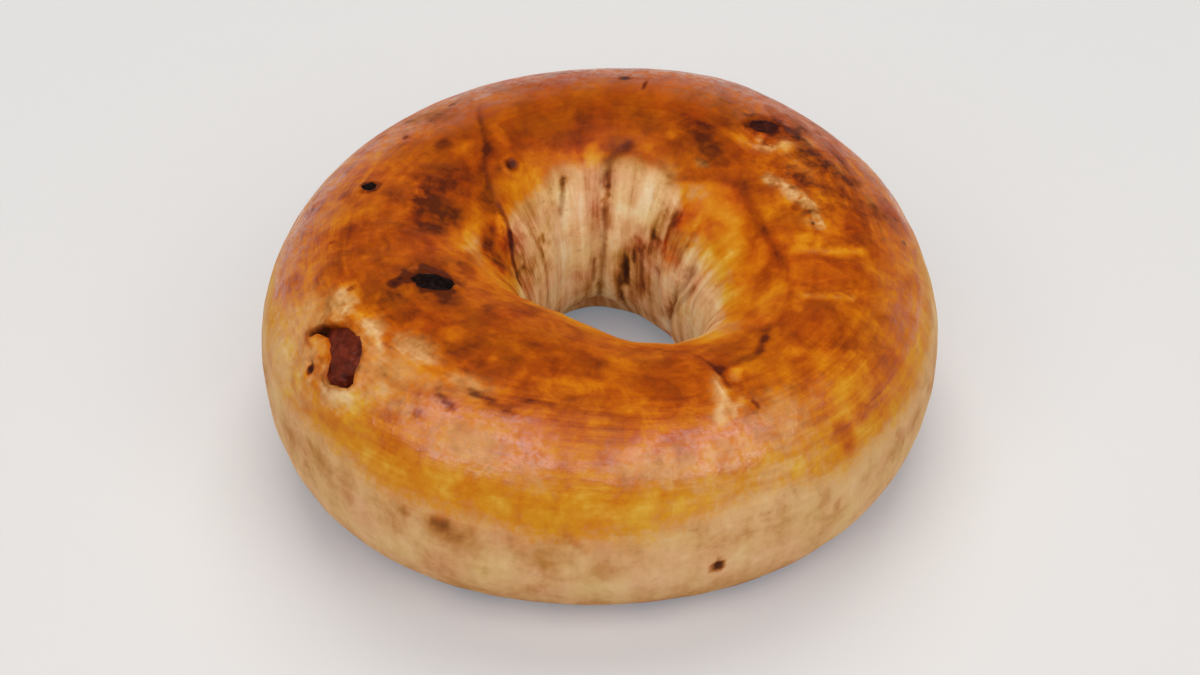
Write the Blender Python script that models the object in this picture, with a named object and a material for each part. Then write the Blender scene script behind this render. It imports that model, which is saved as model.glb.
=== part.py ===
"""A raisin bagel: one ring of boiled and baked dough, with four raisins showing in its crust.

Metres, +Z up. The origin is under the middle of the ring, on the surface that the bagel rests on.
The front is at -Y. A place on the crust is given by two angles in degrees. The ring angle turns
from +X towards +Y. The tube angle turns from the outer side (0) over the crest (90) and down the
wall of the hole (180) to the foot (270).
"""

import math

import bpy
import numpy as np
from mathutils import Matrix, Vector

MM = 0.001

# Each size of the ring is a mean and its lobes: (lobes round the ring, amount, direction in degrees).
OUTER_RADIUS = (54.9 * MM, [(2, 0.95 * MM, 25), (3, 0.4 * MM, -9), (4, 0.45 * MM, 45)])
HOLE_RADIUS = (13.8 * MM, [(1, 2.4 * MM, -8), (2, 1.25 * MM, -57), (3, 1.55 * MM, -37)])
HEIGHT = (39.9 * MM, [(1, 1.7 * MM, 167), (2, 1.7 * MM, 54)])

# The cross-section is a superellipse, rounder above mid height than below it.
ROUNDNESS_ABOVE = 2.05
ROUNDNESS_BELOW = 2.5

# The dough sagged onto its baking tray: what would lie below the tray is pressed flat.
FOOT_SINK = 1.5 * MM
FOOT_EDGE = 0.8 * MM

RING_SEGMENTS = 128
TUBE_SEGMENTS = 40

# Creases where the rolled rope of dough laps over itself. "over" is how far the crust on the left
# of the path stands above the crust on its right, and "spread" is how far back that step reaches.
CREASES = {
    "lap at the back left, from the outside over the crest and down into the hole": {
        "path": [(119, 62), (121.5, 82), (131, 105.5), (146.5, 125.5), (172, 145), (183, 160), (176, 186)],
        "depth": 0.9 * MM, "width": 1.5 * MM, "over": 0.5 * MM, "spread": 6 * MM,
    },
    "crease down the back wall of the hole": {
        "path": [(80, 118), (82, 127), (86.5, 138.5), (87.5, 160), (89.5, 181.5), (89.5, 210), (89.5, 240)],
        "depth": 1.6 * MM, "width": 1.3 * MM, "over": 0.2 * MM, "spread": 5 * MM,
    },
    "crease down the right wall, beside the bulge": {
        "path": [(10, 140), (15, 155), (23, 176.5), (34, 204), (40, 225)],
        "depth": 1.2 * MM, "width": 1.3 * MM, "over": 0.5 * MM, "spread": 6 * MM,
    },
    "lap at the front right, from the hole over the crest": {
        "path": [(300, 140), (299.5, 120), (299.8, 102.5), (300, 83), (299.8, 66)],
        "depth": 0.9 * MM, "width": 1.5 * MM, "over": -0.5 * MM, "spread": 7 * MM,
    },
}

# The dough stretched thin over a raisin at the left, ending in a raised edge.
FILM_EDGE = {
    "path": [(200, 44), (205, 34.5), (212, 28), (219, 30), (230, 34)],
    "height": 0.5 * MM, "width": 1.8 * MM,
}

# A torn scar on the crest at the right.
SCAR = {
    "path": [(23, 95), (16, 91), (11.5, 89.5), (5, 90), (2, 89)],
    "height": 0.45 * MM, "width": 1.8 * MM,
}

# Hollows in the crust: (ring angle, tube angle, radius, depth).
HOLLOWS = [
    (42, 89, 4.5 * MM, 1.0 * MM),
    (214, 99, 5.0 * MM, 0.5 * MM),
    (217, 55, 6.0 * MM, 0.6 * MM),
    (5.2, 88, 3.0 * MM, 0.6 * MM),
]

# Broad lumps, on the upper half: (waves round the ring, waves round the tube, amount, shift in degrees).
LUMPS = [
    (5, 1, 0.16 * MM, 40),
    (7, 2, 0.14 * MM, 130),
    (3, -2, 0.16 * MM, 250),
    (9, 3, 0.10 * MM, 15),
]

# Pleats down the wall of the hole: (pleats round the hole, amount, shift in degrees).
PLEATS = [(11, 0.22 * MM, 20), (17, 0.18 * MM, 75), (24, 0.12 * MM, 160)]
PLEAT_CENTRE = 172
PLEAT_REACH = 34

# A raisin is a flattened, wrinkled body: length, width and thickness, the place of its middle on the
# crust, how it is turned about the crust's normal, how it is tipped, and how far its middle is sunk.
RAISINS = {
    "raisin_torn_pocket": {
        "size": (10.4 * MM, 11.6 * MM, 5.0 * MM),
        "place": (215.0, 48.5), "turn": 40, "tip": -23, "sink": 1.95 * MM,
    },
    "raisin_crest": {
        "size": (8.6 * MM, 5.4 * MM, 3.4 * MM),
        "place": (211.8, 99.5), "turn": 52, "tip": 0, "sink": 0.75 * MM,
    },
    "raisin_back": {
        "size": (6.8 * MM, 4.2 * MM, 2.8 * MM),
        "place": (43.5, 81.0), "turn": 48, "tip": 0, "sink": 0.7 * MM,
    },
    "raisin_small": {
        "size": (3.6 * MM, 3.2 * MM, 2.4 * MM),
        "place": (164.2, 73.5), "turn": 60, "tip": 0, "sink": 0.55 * MM,
    },
}
RAISIN_MERIDIANS = 16
RAISIN_PARALLELS = 10
WRINKLES = [(3, 0.05, 20), (5, 0.04, 100), (8, 0.03, 210)]
SOCKET_GAP = 0.3 * MM

CRUST_COLOUR = (0.42, 0.14, 0.015, 1)
CRUST_ROUGHNESS = 0.34
RAISIN_COLOUR = (0.045, 0.012, 0.006, 1)
RAISIN_ROUGHNESS = 0.4


def clear_scene():
    for obj in list(bpy.data.objects):
        bpy.data.objects.remove(obj, do_unlink=True)


def new_collection(name):
    collection = bpy.data.collections.new(name)
    bpy.context.scene.collection.children.link(collection)
    return collection


def move_to(obj, collection):
    for other in list(obj.users_collection):
        other.objects.unlink(obj)
    collection.objects.link(obj)


def new_material(name, colour, roughness):
    material = bpy.data.materials.new(name)
    material.use_nodes = True
    shader = material.node_tree.nodes["Principled BSDF"]
    shader.inputs["Base Color"].default_value = colour
    shader.inputs["Roughness"].default_value = roughness
    shader.inputs["Metallic"].default_value = 0
    return material


def uneven(angle, size):
    """A size of the ring at a ring angle in radians."""
    mean, lobes = size
    return mean + sum(amount * np.cos(count * (angle - math.radians(at))) for count, amount, at in lobes)


def body(ring, tube):
    """Points of the smooth ring, before it sags onto the tray. Both angles are in radians."""
    outer, hole, height = (uneven(ring, size) for size in (OUTER_RADIUS, HOLE_RADIUS, HEIGHT))
    across, up = np.cos(tube), np.sin(tube)
    power = np.where(up >= 0, ROUNDNESS_ABOVE, ROUNDNESS_BELOW)
    reach = (np.abs(across) ** power + np.abs(up) ** power) ** (-1 / power)
    radius = (outer + hole) / 2 + (outer - hole) / 2 * across * reach
    middle = height / 2
    z = middle + np.where(up >= 0, height - middle, middle + FOOT_SINK) * up * reach
    return np.stack([radius * np.cos(ring), radius * np.sin(ring), z], -1)


def outward(ring, tube, step=1e-3):
    """Unit normals of the smooth ring."""
    round_ring = body(ring + step, tube) - body(ring - step, tube)
    round_tube = body(ring, tube + step) - body(ring, tube - step)
    normal = np.cross(round_ring, round_tube)
    return normal / np.linalg.norm(normal, axis=-1, keepdims=True)


def pressed_flat(points):
    """The same points with what lies below the tray brought up to it, over a softly rounded edge."""
    z = points[..., 2]
    edge = (z + FOOT_EDGE) ** 2 / (4 * FOOT_EDGE)
    points[..., 2] = np.where(z < -FOOT_EDGE, 0, np.where(z < FOOT_EDGE, edge, z))
    return points


def path_points(path, steps=6):
    """A path of ring and tube angles as points on the smooth ring, with steps between its corners."""
    places = np.radians(np.array(path, float))
    at = np.linspace(0, len(places) - 1, steps * (len(places) - 1) + 1)
    corners = np.arange(len(places))
    return body(np.interp(at, corners, places[:, 0]), np.interp(at, corners, places[:, 1]))


def beside_path(points, normals, path):
    """Each point's signed distance from a path, positive on its left, and how far along it is, 0 to 1."""
    line = path_points(path)
    nearest = np.full(len(points), np.inf)
    side = np.zeros(len(points))
    along = np.zeros(len(points))
    for i in range(len(line) - 1):
        leg = line[i + 1] - line[i]
        part = np.clip((points - line[i]) @ leg / (leg @ leg), 0, 1)
        apart = points - (line[i] + part[:, None] * leg)
        distance = np.linalg.norm(apart, axis=1)
        closer = distance < nearest
        left = np.einsum("ij,ij->i", np.cross(normals, leg), apart)
        nearest[closer] = distance[closer]
        side[closer] = np.sign(left[closer])
        along[closer] = (i + part[closer]) / (len(line) - 1)
    return nearest * side, along


def faded(along, end=0.2):
    """1 in the middle of a path and 0 at its ends."""
    return np.clip(along / end, 0, 1) * np.clip((1 - along) / end, 0, 1)


def crease(points, normals, path, depth, width, over, spread):
    """A groove along the path, with the crust on its left lapped over the crust on its right."""
    beside, along = beside_path(points, normals, path)
    groove = -depth * np.exp(-((beside / width) ** 2))
    lap = over * np.tanh(beside / width) * np.exp(-((beside / spread) ** 2))
    return (groove + lap) * faded(along)


def ridge(points, normals, path, height, width):
    beside, along = beside_path(points, normals, path)
    return height * np.exp(-((beside / width) ** 2)) * faded(along)


def hollow(points, place, radius, depth):
    centre = body(*np.radians(place))
    return -depth * np.exp(-((np.linalg.norm(points - centre, axis=1) / radius) ** 2))


def relief(ring, tube, points, normals):
    """How far the crust stands out from the smooth ring at each point."""
    height = np.zeros(len(points))
    upper_half = (1 + np.sin(tube)) / 2
    for round_ring, round_tube, amount, shift in LUMPS:
        waves = np.cos(round_ring * ring + round_tube * tube + math.radians(shift))
        height += amount * waves * upper_half
    in_hole = np.exp(-(((np.degrees(tube) % 360 - PLEAT_CENTRE) / PLEAT_REACH) ** 2))
    for count, amount, shift in PLEATS:
        height += in_hole * amount * np.cos(count * ring + math.radians(shift))
    for sizes in CREASES.values():
        height += crease(points, normals, **sizes)
    for line in (FILM_EDGE, SCAR):
        height += ridge(points, normals, **line)
    for ring_at, tube_at, radius, depth in HOLLOWS:
        height += hollow(points, (ring_at, tube_at), radius, depth)
    return height


def make_bagel(collection, material):
    """A torus whose points are moved, each at its own ring and tube angle, onto the shape of the dough."""
    mean_outer, mean_hole = OUTER_RADIUS[0], HOLE_RADIUS[0]
    major = (mean_outer + mean_hole) / 2
    bpy.ops.mesh.primitive_torus_add(
        major_segments=RING_SEGMENTS, minor_segments=TUBE_SEGMENTS,
        major_radius=major, minor_radius=(mean_outer - mean_hole) / 2,
    )
    bagel = bpy.context.object
    bagel.name = bagel.data.name = "bagel"
    move_to(bagel, collection)
    torus = np.array([vertex.co for vertex in bagel.data.vertices])
    ring = np.arctan2(torus[:, 1], torus[:, 0])
    tube = np.arctan2(torus[:, 2], np.hypot(torus[:, 0], torus[:, 1]) - major)
    points, normals = body(ring, tube), outward(ring, tube)
    points += normals * relief(ring, tube, points, normals)[:, None]
    bagel.data.vertices.foreach_set("co", pressed_flat(points).ravel())
    bagel.data.shade_smooth()
    bagel.data.materials.append(material)
    return bagel


def placed_on_crust(place, turn, tip, sink):
    """The matrix of something that lies on the crust, its own Z pointing out and its X along the ring."""
    ring, tube = np.radians(place)
    out = Vector(outward(ring, tube))
    side = Vector((-math.sin(ring), math.cos(ring), 0))
    side = (side - out * side.dot(out)).normalized()
    axes = Matrix((side, out.cross(side), out)).transposed().to_4x4()
    origin = Matrix.Translation(Vector(body(ring, tube)) - out * sink)
    spin = Matrix.Rotation(math.radians(turn), 4, "Z")
    return origin @ axes @ spin @ Matrix.Rotation(math.radians(tip), 4, "Y")


def make_raisin(name, collection, size, matrix, gap=0):
    """A flattened sphere with wrinkles round it, made larger all over by the gap."""
    bpy.ops.mesh.primitive_uv_sphere_add(
        segments=RAISIN_MERIDIANS, ring_count=RAISIN_PARALLELS, radius=0.5
    )
    raisin = bpy.context.object
    raisin.name = raisin.data.name = name
    move_to(raisin, collection)
    for vertex in raisin.data.vertices:
        around = math.atan2(vertex.co.y, vertex.co.x)
        flat = 1 - abs(2 * vertex.co.z)
        swell = sum(amount * math.cos(count * around + math.radians(shift)) for count, amount, shift in WRINKLES)
        vertex.co *= 1 + swell * flat
        vertex.co = Vector([co * (full + 2 * gap) for co, full in zip(vertex.co, size)])
    raisin.data.shade_smooth()
    raisin.matrix_world = matrix
    return raisin


def cut_socket(bagel, raisin_name, collection, size, matrix):
    """Takes the raisin's room, and a small gap round it, out of the dough."""
    cutter = make_raisin("socket_of_" + raisin_name, collection, size, matrix, SOCKET_GAP)
    cutter.hide_render = True
    cutter.display_type = "WIRE"
    cut = bagel.modifiers.new("socket of " + raisin_name, "BOOLEAN")
    cut.operation = "DIFFERENCE"
    cut.solver = "EXACT"
    cut.object = cutter


def main():
    clear_scene()
    parts = new_collection("raisin bagel")
    cutters = new_collection("sockets")
    crust = new_material("baked crust", CRUST_COLOUR, CRUST_ROUGHNESS)
    fruit = new_material("raisin skin", RAISIN_COLOUR, RAISIN_ROUGHNESS)
    bagel = make_bagel(parts, crust)
    for name, raisin in RAISINS.items():
        matrix = placed_on_crust(raisin["place"], raisin["turn"], raisin["tip"], raisin["sink"])
        piece = make_raisin(name, parts, raisin["size"], matrix)
        piece.data.materials.append(fruit)
        piece.parent = bagel
        cut_socket(bagel, name, cutters, raisin["size"], matrix)


main()
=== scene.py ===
# %% [markdown]
# # A raisin bagel
# A bagel is a rope of raisin dough, joined into a ring, boiled and then baked. This lesson dresses a
# plain solid of one. The smooth ring comes from a rule in Geometry Nodes. The creases, torn places
# and pits are moved into its points in code, and the colours of baking are painted on the same
# points, so that both follow the ring's own two angles.

# %% Load the solids that the looks are built on
import math

import bmesh
import bpy
import numpy as np
from mathutils import Euler, Matrix, Vector, noise


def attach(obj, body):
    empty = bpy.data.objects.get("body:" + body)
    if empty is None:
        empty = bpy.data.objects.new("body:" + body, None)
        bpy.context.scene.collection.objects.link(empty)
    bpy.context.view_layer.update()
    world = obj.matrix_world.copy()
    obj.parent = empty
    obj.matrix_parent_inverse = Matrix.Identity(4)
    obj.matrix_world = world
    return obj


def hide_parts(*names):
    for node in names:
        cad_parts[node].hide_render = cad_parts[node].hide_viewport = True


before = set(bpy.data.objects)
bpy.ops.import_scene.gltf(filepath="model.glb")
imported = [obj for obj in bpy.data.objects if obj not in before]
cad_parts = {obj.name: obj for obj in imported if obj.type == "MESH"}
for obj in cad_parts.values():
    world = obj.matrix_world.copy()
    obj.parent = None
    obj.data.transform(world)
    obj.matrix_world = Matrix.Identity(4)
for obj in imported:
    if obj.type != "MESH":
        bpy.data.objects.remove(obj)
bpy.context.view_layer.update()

MM = 0.001
MATH = "ShaderNodeMath"

# %% [markdown]
# ## Nodes and colours
# Materials and Geometry Nodes are both trees of nodes. One small function adds a node, sets it up and
# links it, so that the cells below read as a list of steps. The most used kind of node, MATH, does one
# sum, such as MULTIPLY_ADD for a times b plus c. Colours are written as they look on a
# screen and are turned to the linear values that Blender works in.

# %% Colours and nodes
def linear(colour):
    """A screen colour such as #C07020 as linear red, green, blue and full alpha."""
    channels = [int(colour[at:at + 2], 16) / 255 for at in (1, 3, 5)]
    return [c / 12.92 if c <= 0.04045 else ((c + 0.055) / 1.055) ** 2.4 for c in channels] + [1]


def add(tree, kind, inputs=(), stops=None, **settings):
    """Adds a node with its settings. Inputs are listed in order, or named, and each gets a value, or a
    link from a node or a socket."""
    node = tree.nodes.new(kind)
    for name, value in settings.items():
        setattr(node, name, value)
    for name, value in inputs.items() if isinstance(inputs, dict) else enumerate(inputs):
        if isinstance(value, bpy.types.Node):
            value = value.outputs[0]
        if isinstance(value, bpy.types.NodeSocket):
            tree.links.new(value, node.inputs[name])
        else:
            node.inputs[name].default_value = value
    if stops:
        elements = node.color_ramp.elements
        for position, colour in stops[2:]:
            elements.new(position)
        for element, (position, colour) in zip(elements, stops):
            element.position = position
            element.color = linear(colour) if isinstance(colour, str) else [colour] * 3 + [1]
    return node


print("a golden crust in linear light:", [round(c, 3) for c in linear("#C8861E")])

# %% [markdown]
# ## The camera
# The photo looks down on the bagel from the front. The tilt and the distance were found from the
# outline of the ring, and the lens follows from how many pixels of the picture a millimetre of the
# bagel covers at its mid height.

# %% Set the camera
IMAGE_WIDTH, IMAGE_HEIGHT = 1200, 675
PIXELS_PER_MM = 6.1
CAMERA_TILT = math.radians(41.2)
CAMERA_DISTANCE = 515 * MM
LOOK_AT = Vector((0, 0, 20 * MM))
LOOK_AT_PIXEL = (599, 319.6)
SENSOR = 36


def new_object(name, data):
    """A new object in the scene."""
    made = bpy.data.objects.new(name, data)
    bpy.context.scene.collection.objects.link(made)
    return made


camera_data = bpy.data.cameras.new("camera")
camera = new_object("camera", camera_data)
bpy.context.scene.camera = camera
view_direction = Vector((0, math.cos(CAMERA_TILT), -math.sin(CAMERA_TILT)))
camera.location = LOOK_AT - view_direction * CAMERA_DISTANCE
camera.rotation_euler = (math.pi / 2 - CAMERA_TILT, 0, 0)
camera_data.sensor_width = SENSOR
camera_data.lens = PIXELS_PER_MM * CAMERA_DISTANCE / MM / IMAGE_WIDTH * SENSOR
camera_data.shift_x = (IMAGE_WIDTH / 2 - LOOK_AT_PIXEL[0]) / IMAGE_WIDTH
camera_data.shift_y = (LOOK_AT_PIXEL[1] - IMAGE_HEIGHT / 2) / IMAGE_WIDTH
camera_data.clip_start = 10 * MM
print(f"lens {camera_data.lens:.1f} mm, {CAMERA_DISTANCE:.3f} m away")

# %% [markdown]
# ## The floor and the light
# The bagel lies on a pale board in a bright studio. A long soft box over the camera gives the light. A
# second one in its place shows in mirror images alone: it makes the sheen along the front shoulder,
# which can then be as strong as it has to be without bleaching the crust. The sky is bright only low
# down behind the bagel, where the far shoulder mirrors it: anywhere else it would veil the deep orange
# of the crest. The third box, behind the bagel, lights the crest and the hole, and mirrors nowhere.
# The warm board glows a little in a cool colour, which keeps the shadow inside the hole grey.

# %% Lay the floor
FLOOR_HALF = 6
FLOOR_COLOUR = "#E3D8CE"
GLOW_COLOUR = "#9FDAFF"
FLOOR_GLOW = 0.17


def new_material(name):
    """A material, and its tree without any nodes yet."""
    material = bpy.data.materials.new(name)
    material.use_nodes = True
    material.node_tree.nodes.clear()
    return material, material.node_tree


bpy.ops.mesh.primitive_plane_add(size=2 * FLOOR_HALF)
floor = bpy.context.object
floor.name = floor.data.name = "floor"
pale_board, tree = new_material("matte_pale_board")
board = add(tree, "ShaderNodeBsdfPrincipled", {
    "Base Color": linear(FLOOR_COLOUR), "Roughness": 0.9, "Specular IOR Level": 0.1,
    "Emission Color": linear(GLOW_COLOUR), "Emission Strength": FLOOR_GLOW,
})
add(tree, "ShaderNodeOutputMaterial", {"Surface": board})
floor.data.materials.append(pale_board)
bpy.context.scene.view_settings.view_transform = "Standard"
print("floor is", 2 * FLOOR_HALF, "m wide")


# %% Hang the soft boxes
def soft_box(name, width, depth, elevation, azimuth, distance, watts, glossy=True, diffuse=True):
    """A rectangular light that looks at the bagel from an elevation and an azimuth in degrees."""
    data = bpy.data.lights.new(name, "AREA")
    data.shape = "RECTANGLE"
    data.size = width
    data.size_y = depth
    data.energy = watts
    light = new_object(name, data)
    to_light = Vector((1, 0, 0))
    to_light.rotate(Euler((0, -math.radians(elevation), math.radians(azimuth))))
    light.location = LOOK_AT + to_light * distance
    light.rotation_euler = to_light.to_track_quat("Z", "Y").to_euler()
    light.visible_glossy = glossy
    light.visible_diffuse = diffuse


soft_box("key_box", 2.7, 1.15, elevation=55, azimuth=-88, distance=1.2, watts=16)
soft_box("sheen_box", 2.8, 1.2, elevation=51.5, azimuth=-88, distance=1.2, watts=29, diffuse=False)
soft_box("fill_box", 1.6, 1.6, elevation=61, azimuth=90, distance=2.0, watts=22, glossy=False)

# %% Paint the sky
SKY_STRENGTH = 0.62
LOW_GREY, FRONT_SHARE = 0.95, 0.15
sky = bpy.data.worlds.new("studio")
bpy.context.scene.world = sky
sky.use_nodes = True
tree = sky.node_tree
tree.nodes.clear()
looking = add(tree, "ShaderNodeTexCoord").outputs["Generated"]
towards = add(tree, "ShaderNodeSeparateXYZ", [looking]).outputs
walls = add(tree, "ShaderNodeValToRGB", [towards["Z"]],
            stops=[(0, LOW_GREY), (0.2, 0.85), (0.48, 0.08), (1, 0.03)])
behind = add(tree, "ShaderNodeMapRange", [towards["Y"], -0.5, 0.1, FRONT_SHARE, 1.0],
             interpolation_type="SMOOTHSTEP")
behind = add(tree, MATH, [behind, SKY_STRENGTH], operation="MULTIPLY")
sky_light = add(tree, "ShaderNodeBackground", {"Color": walls, "Strength": behind})
add(tree, "ShaderNodeOutputWorld", {"Surface": sky_light})
print("sky ramp has", len(walls.color_ramp.elements), "stops")

# %% [markdown]
# ## The crust's material
# What the eye sees is starch gel, boiled onto the dough and then baked: a thin clear glaze over
# colours that run from straw through orange to chestnut. Where the dough stayed pale, in the hole,
# near the foot and where it tore, it is matte and floury. Two ramps hold those two families of
# colour, and the glaze is the shader's coat. Attributes painted on the mesh choose between them, and
# noises break up their edges: `bake` is how brown the place is, and in the folds of the laps and the
# torn pocket it also holds painted shade; `pale` is how floury, and in some patches on the shoulder it
# is painted sheen as well; `mark` is how dark, which is burnt crust, and painted shade at knots of the
# creases and in pits; `gloss` is how thick the glaze and `hazy` how dull. `lively`, `rope` and `wall`
# say how much each kind of noise shows. `lay` and `lay_turn` are the place on a plain torus, so that
# noises can be drawn out along the rope of dough or down the wall of the hole with no seam.

# %% Start the crust
LINE_KINDS = ("crease_shade_lines", "crease_shade_branches", "light_lines")
crust, tree = new_material("boiled_and_baked_crust")
place = add(tree, "ShaderNodeTexCoord").outputs["Object"]
painted = {}
for name in ("bake", "pale", "mark", "wall", "rope", "lively", "gloss", "hazy", "lay_turn"):
    painted[name] = add(tree, "ShaderNodeAttribute", attribute_name=name).outputs["Fac"]
lay = add(tree, "ShaderNodeAttribute", attribute_name="lay").outputs["Vector"]
print("painted layers:", list(painted))

# %% Noises at the sizes that dough shows
BLUSH = 8 * MM
MOTTLE = 5.0 * MM
FLECK = 1.3 * MM
GRAIN = 0.5 * MM
ROPE_STREAK = 1.1 * MM
WALL_STREAK = 3.4 * MM
DRAWN_OUT = 0.12
WALL_DRAWN_OUT = 0.2
textures = {}
for name, size, detail, twist in (("blush", BLUSH, 3, 0), ("mottle", MOTTLE, 5, 0.5),
                                  ("fleck", FLECK, 4, 0.4), ("grain", GRAIN, 2, 0)):
    textures[name] = add(tree, "ShaderNodeTexNoise", {
        "Vector": place, "Scale": 1 / size, "Detail": detail, "Roughness": 0.58, "Distortion": twist,
    })
along_rope = add(tree, "ShaderNodeVectorMath", [lay, (DRAWN_OUT, DRAWN_OUT, 1)], operation="MULTIPLY")
textures["rope"] = add(tree, "ShaderNodeTexNoise", {
    "Vector": along_rope, "W": painted["lay_turn"], "Scale": 1 / ROPE_STREAK, "Detail": 4, "Roughness": 0.6,
}, noise_dimensions="4D")
down_wall = add(tree, "ShaderNodeVectorMath", [lay, (1, 1, WALL_DRAWN_OUT)], operation="MULTIPLY")
drawn_turn = add(tree, MATH, [painted["lay_turn"], WALL_DRAWN_OUT], operation="MULTIPLY")
textures["wall"] = add(tree, "ShaderNodeTexNoise", {
    "Vector": down_wall, "W": drawn_turn, "Scale": 1 / WALL_STREAK, "Detail": 5, "Roughness": 0.56,
}, noise_dimensions="4D")
print("noises:", list(textures))

# %% Stir the noises into a value
# A noise runs from 0 to 1 round a half, so its swing is what it is above or below that. A painted
# layer rules how much most of the noises show.
NOISE_LAYERS = {"mottle": "lively", "fleck": "lively", "rope": "rope", "wall": "wall"}
swings = {}
for name, texture in textures.items():
    swings[name] = add(tree, MATH, [texture, 0.5], operation="SUBTRACT")


def stirred(tree, total, sources, **amounts):
    """The total plus each named noise times an amount, and times the painted layer that rules it."""
    for name, amount in amounts.items():
        layer = NOISE_LAYERS.get(name)
        if layer:
            amount = add(tree, MATH, [painted[layer], amount], operation="MULTIPLY")
        total = add(tree, MATH, [sources[name], amount, total], operation="MULTIPLY_ADD")
    return total


print("ruled by a layer:", list(NOISE_LAYERS))

# %% Fine lines
# Each kind of line is stored as a vector: the distance from the line in half widths, and its strength.
# Drawing the line here, for each pixel, keeps it sharper than the mesh's faces are wide.
# The dark lines are painted shade along the creases, laps and pleats of the crust.
LINE_WANDER = 2.2
LINE_EDGE = 2.2
shown = {}
for name in LINE_KINDS:
    stored = add(tree, "ShaderNodeAttribute", attribute_name=name).outputs["Vector"]
    stored = add(tree, "ShaderNodeSeparateXYZ", [stored]).outputs
    apart = add(tree, MATH, [swings["fleck"], LINE_WANDER, stored["X"]], operation="MULTIPLY_ADD")
    apart = add(tree, MATH, [apart], operation="ABSOLUTE")
    core = add(tree, "ShaderNodeMapRange", [apart, LINE_EDGE, 0.0], interpolation_type="SMOOTHSTEP")
    shown[name] = add(tree, MATH, [core, stored["Y"]], operation="MULTIPLY")
shade_in_creases = add(tree, MATH, [shown["crease_shade_lines"], shown["crease_shade_branches"]], operation="MAXIMUM")
light = shown["light_lines"]
print("kinds of line:", len(shown))

# %% How brown each place is
browning_and_shade = stirred(tree, painted["bake"], swings, mottle=0.78, fleck=0.26, rope=0.75, wall=1.15)
# The dark lines darken the colour as painted shade in the creases, and the light lines lighten it.
for lines, amount in ((shade_in_creases, 0.45), (light, -0.30)):
    browning_and_shade = add(tree, MATH, [lines, amount, browning_and_shade], operation="MULTIPLY_ADD")
print("nodes so far:", len(tree.nodes))

# %% The two families of colour
# The hue also sways a little between redder and yellower, most of all on the wall of the hole.
MEAN_HUE, HUE_SWAY, WALL_SWAY = 0.503, 0.025, 0.06
glazed = add(tree, "ShaderNodeValToRGB", [browning_and_shade], stops=[
    (0.00, "#F2C878"), (0.15, "#E6A83C"), (0.30, "#DE8E18"), (0.45, "#D57408"), (0.60, "#C15804"),
    (0.72, "#A94503"), (0.84, "#913805"), (0.93, "#7A2D07"), (1.00, "#5C200A"),
])
floury = add(tree, "ShaderNodeValToRGB", [browning_and_shade], stops=[
    (0.00, "#FCE4B8"), (0.20, "#F2C892"), (0.38, "#E3AE76"), (0.52, "#CB8A4C"),
    (0.66, "#A8642A"), (0.82, "#6E3A18"), (1.00, "#401E0E"),
])
ragged = add(tree, MATH, [light, 0.3, painted["pale"]], operation="MULTIPLY_ADD")
ragged = add(tree, MATH, [swings["fleck"], 0.9, ragged], operation="MULTIPLY_ADD")
ragged = add(tree, MATH, [swings["mottle"], 0.6, ragged], operation="MULTIPLY_ADD")
flouriness = add(tree, "ShaderNodeMapRange", [ragged, 0.14, 0.86], interpolation_type="SMOOTHSTEP")
colour = add(tree, "ShaderNodeMix", data_type="RGBA")
tree.links.new(flouriness.outputs[0], colour.inputs[0])
tree.links.new(glazed.outputs[0], colour.inputs[6])
tree.links.new(floury.outputs[0], colour.inputs[7])
sway = add(tree, MATH, [painted["wall"], WALL_SWAY, HUE_SWAY], operation="MULTIPLY_ADD")
hue = add(tree, MATH, [swings["blush"], sway, MEAN_HUE], operation="MULTIPLY_ADD")
blushed = add(tree, "ShaderNodeHueSaturation", {"Hue": hue, "Color": colour.outputs[2]})
print("glazed colours:", len(glazed.color_ramp.elements), "floury:", len(floury.color_ramp.elements))

# %% Burnt marks, and painted shade in the creases
BURNT_AND_SHADE = "#35120A"
spotted = add(tree, MATH, [swings["fleck"], 1.0, painted["mark"]], operation="MULTIPLY_ADD")
spotted = add(tree, "ShaderNodeMapRange", [spotted, 0.25, 0.85], interpolation_type="SMOOTHSTEP")
# The dark lines mix towards the same dark colour: painted shade in the creases.
burnt_and_crease_shade = add(tree, MATH, [shade_in_creases, 0.5], operation="MULTIPLY")
burnt_and_crease_shade = add(tree, MATH, [burnt_and_crease_shade, spotted], operation="MAXIMUM")
burnt_and_shaded = add(tree, "ShaderNodeMix", data_type="RGBA")
tree.links.new(burnt_and_crease_shade.outputs[0], burnt_and_shaded.inputs[0])
tree.links.new(blushed.outputs[0], burnt_and_shaded.inputs[6])
burnt_and_shaded.inputs[7].default_value = linear(BURNT_AND_SHADE)
print("burnt colour:", BURNT_AND_SHADE)

# %% Relief too fine for the mesh
PORE = 2.6 * MM
pores = add(tree, "ShaderNodeTexVoronoi", {"Vector": place, "Scale": 1 / PORE, "Randomness": 1})
pore_depth = add(tree, "ShaderNodeMapRange", [pores.outputs["Distance"], 0.06, 0.2, -0.12, 0])
heights_mm = add(tree, MATH, [pore_depth, painted["pale"]], operation="MULTIPLY")
heights_mm = stirred(tree, heights_mm, textures, mottle=0.30, fleck=0.13, grain=0.03, rope=0.14, wall=0.38)
for lines, amount in ((shade_in_creases, -0.22), (light, 0.08)):
    heights_mm = add(tree, MATH, [lines, amount, heights_mm], operation="MULTIPLY_ADD")
bump = add(tree, "ShaderNodeBump", {"Height": heights_mm, "Distance": MM, "Strength": 1})
print("pores are about", round(PORE / MM, 1), "mm apart")

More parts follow.
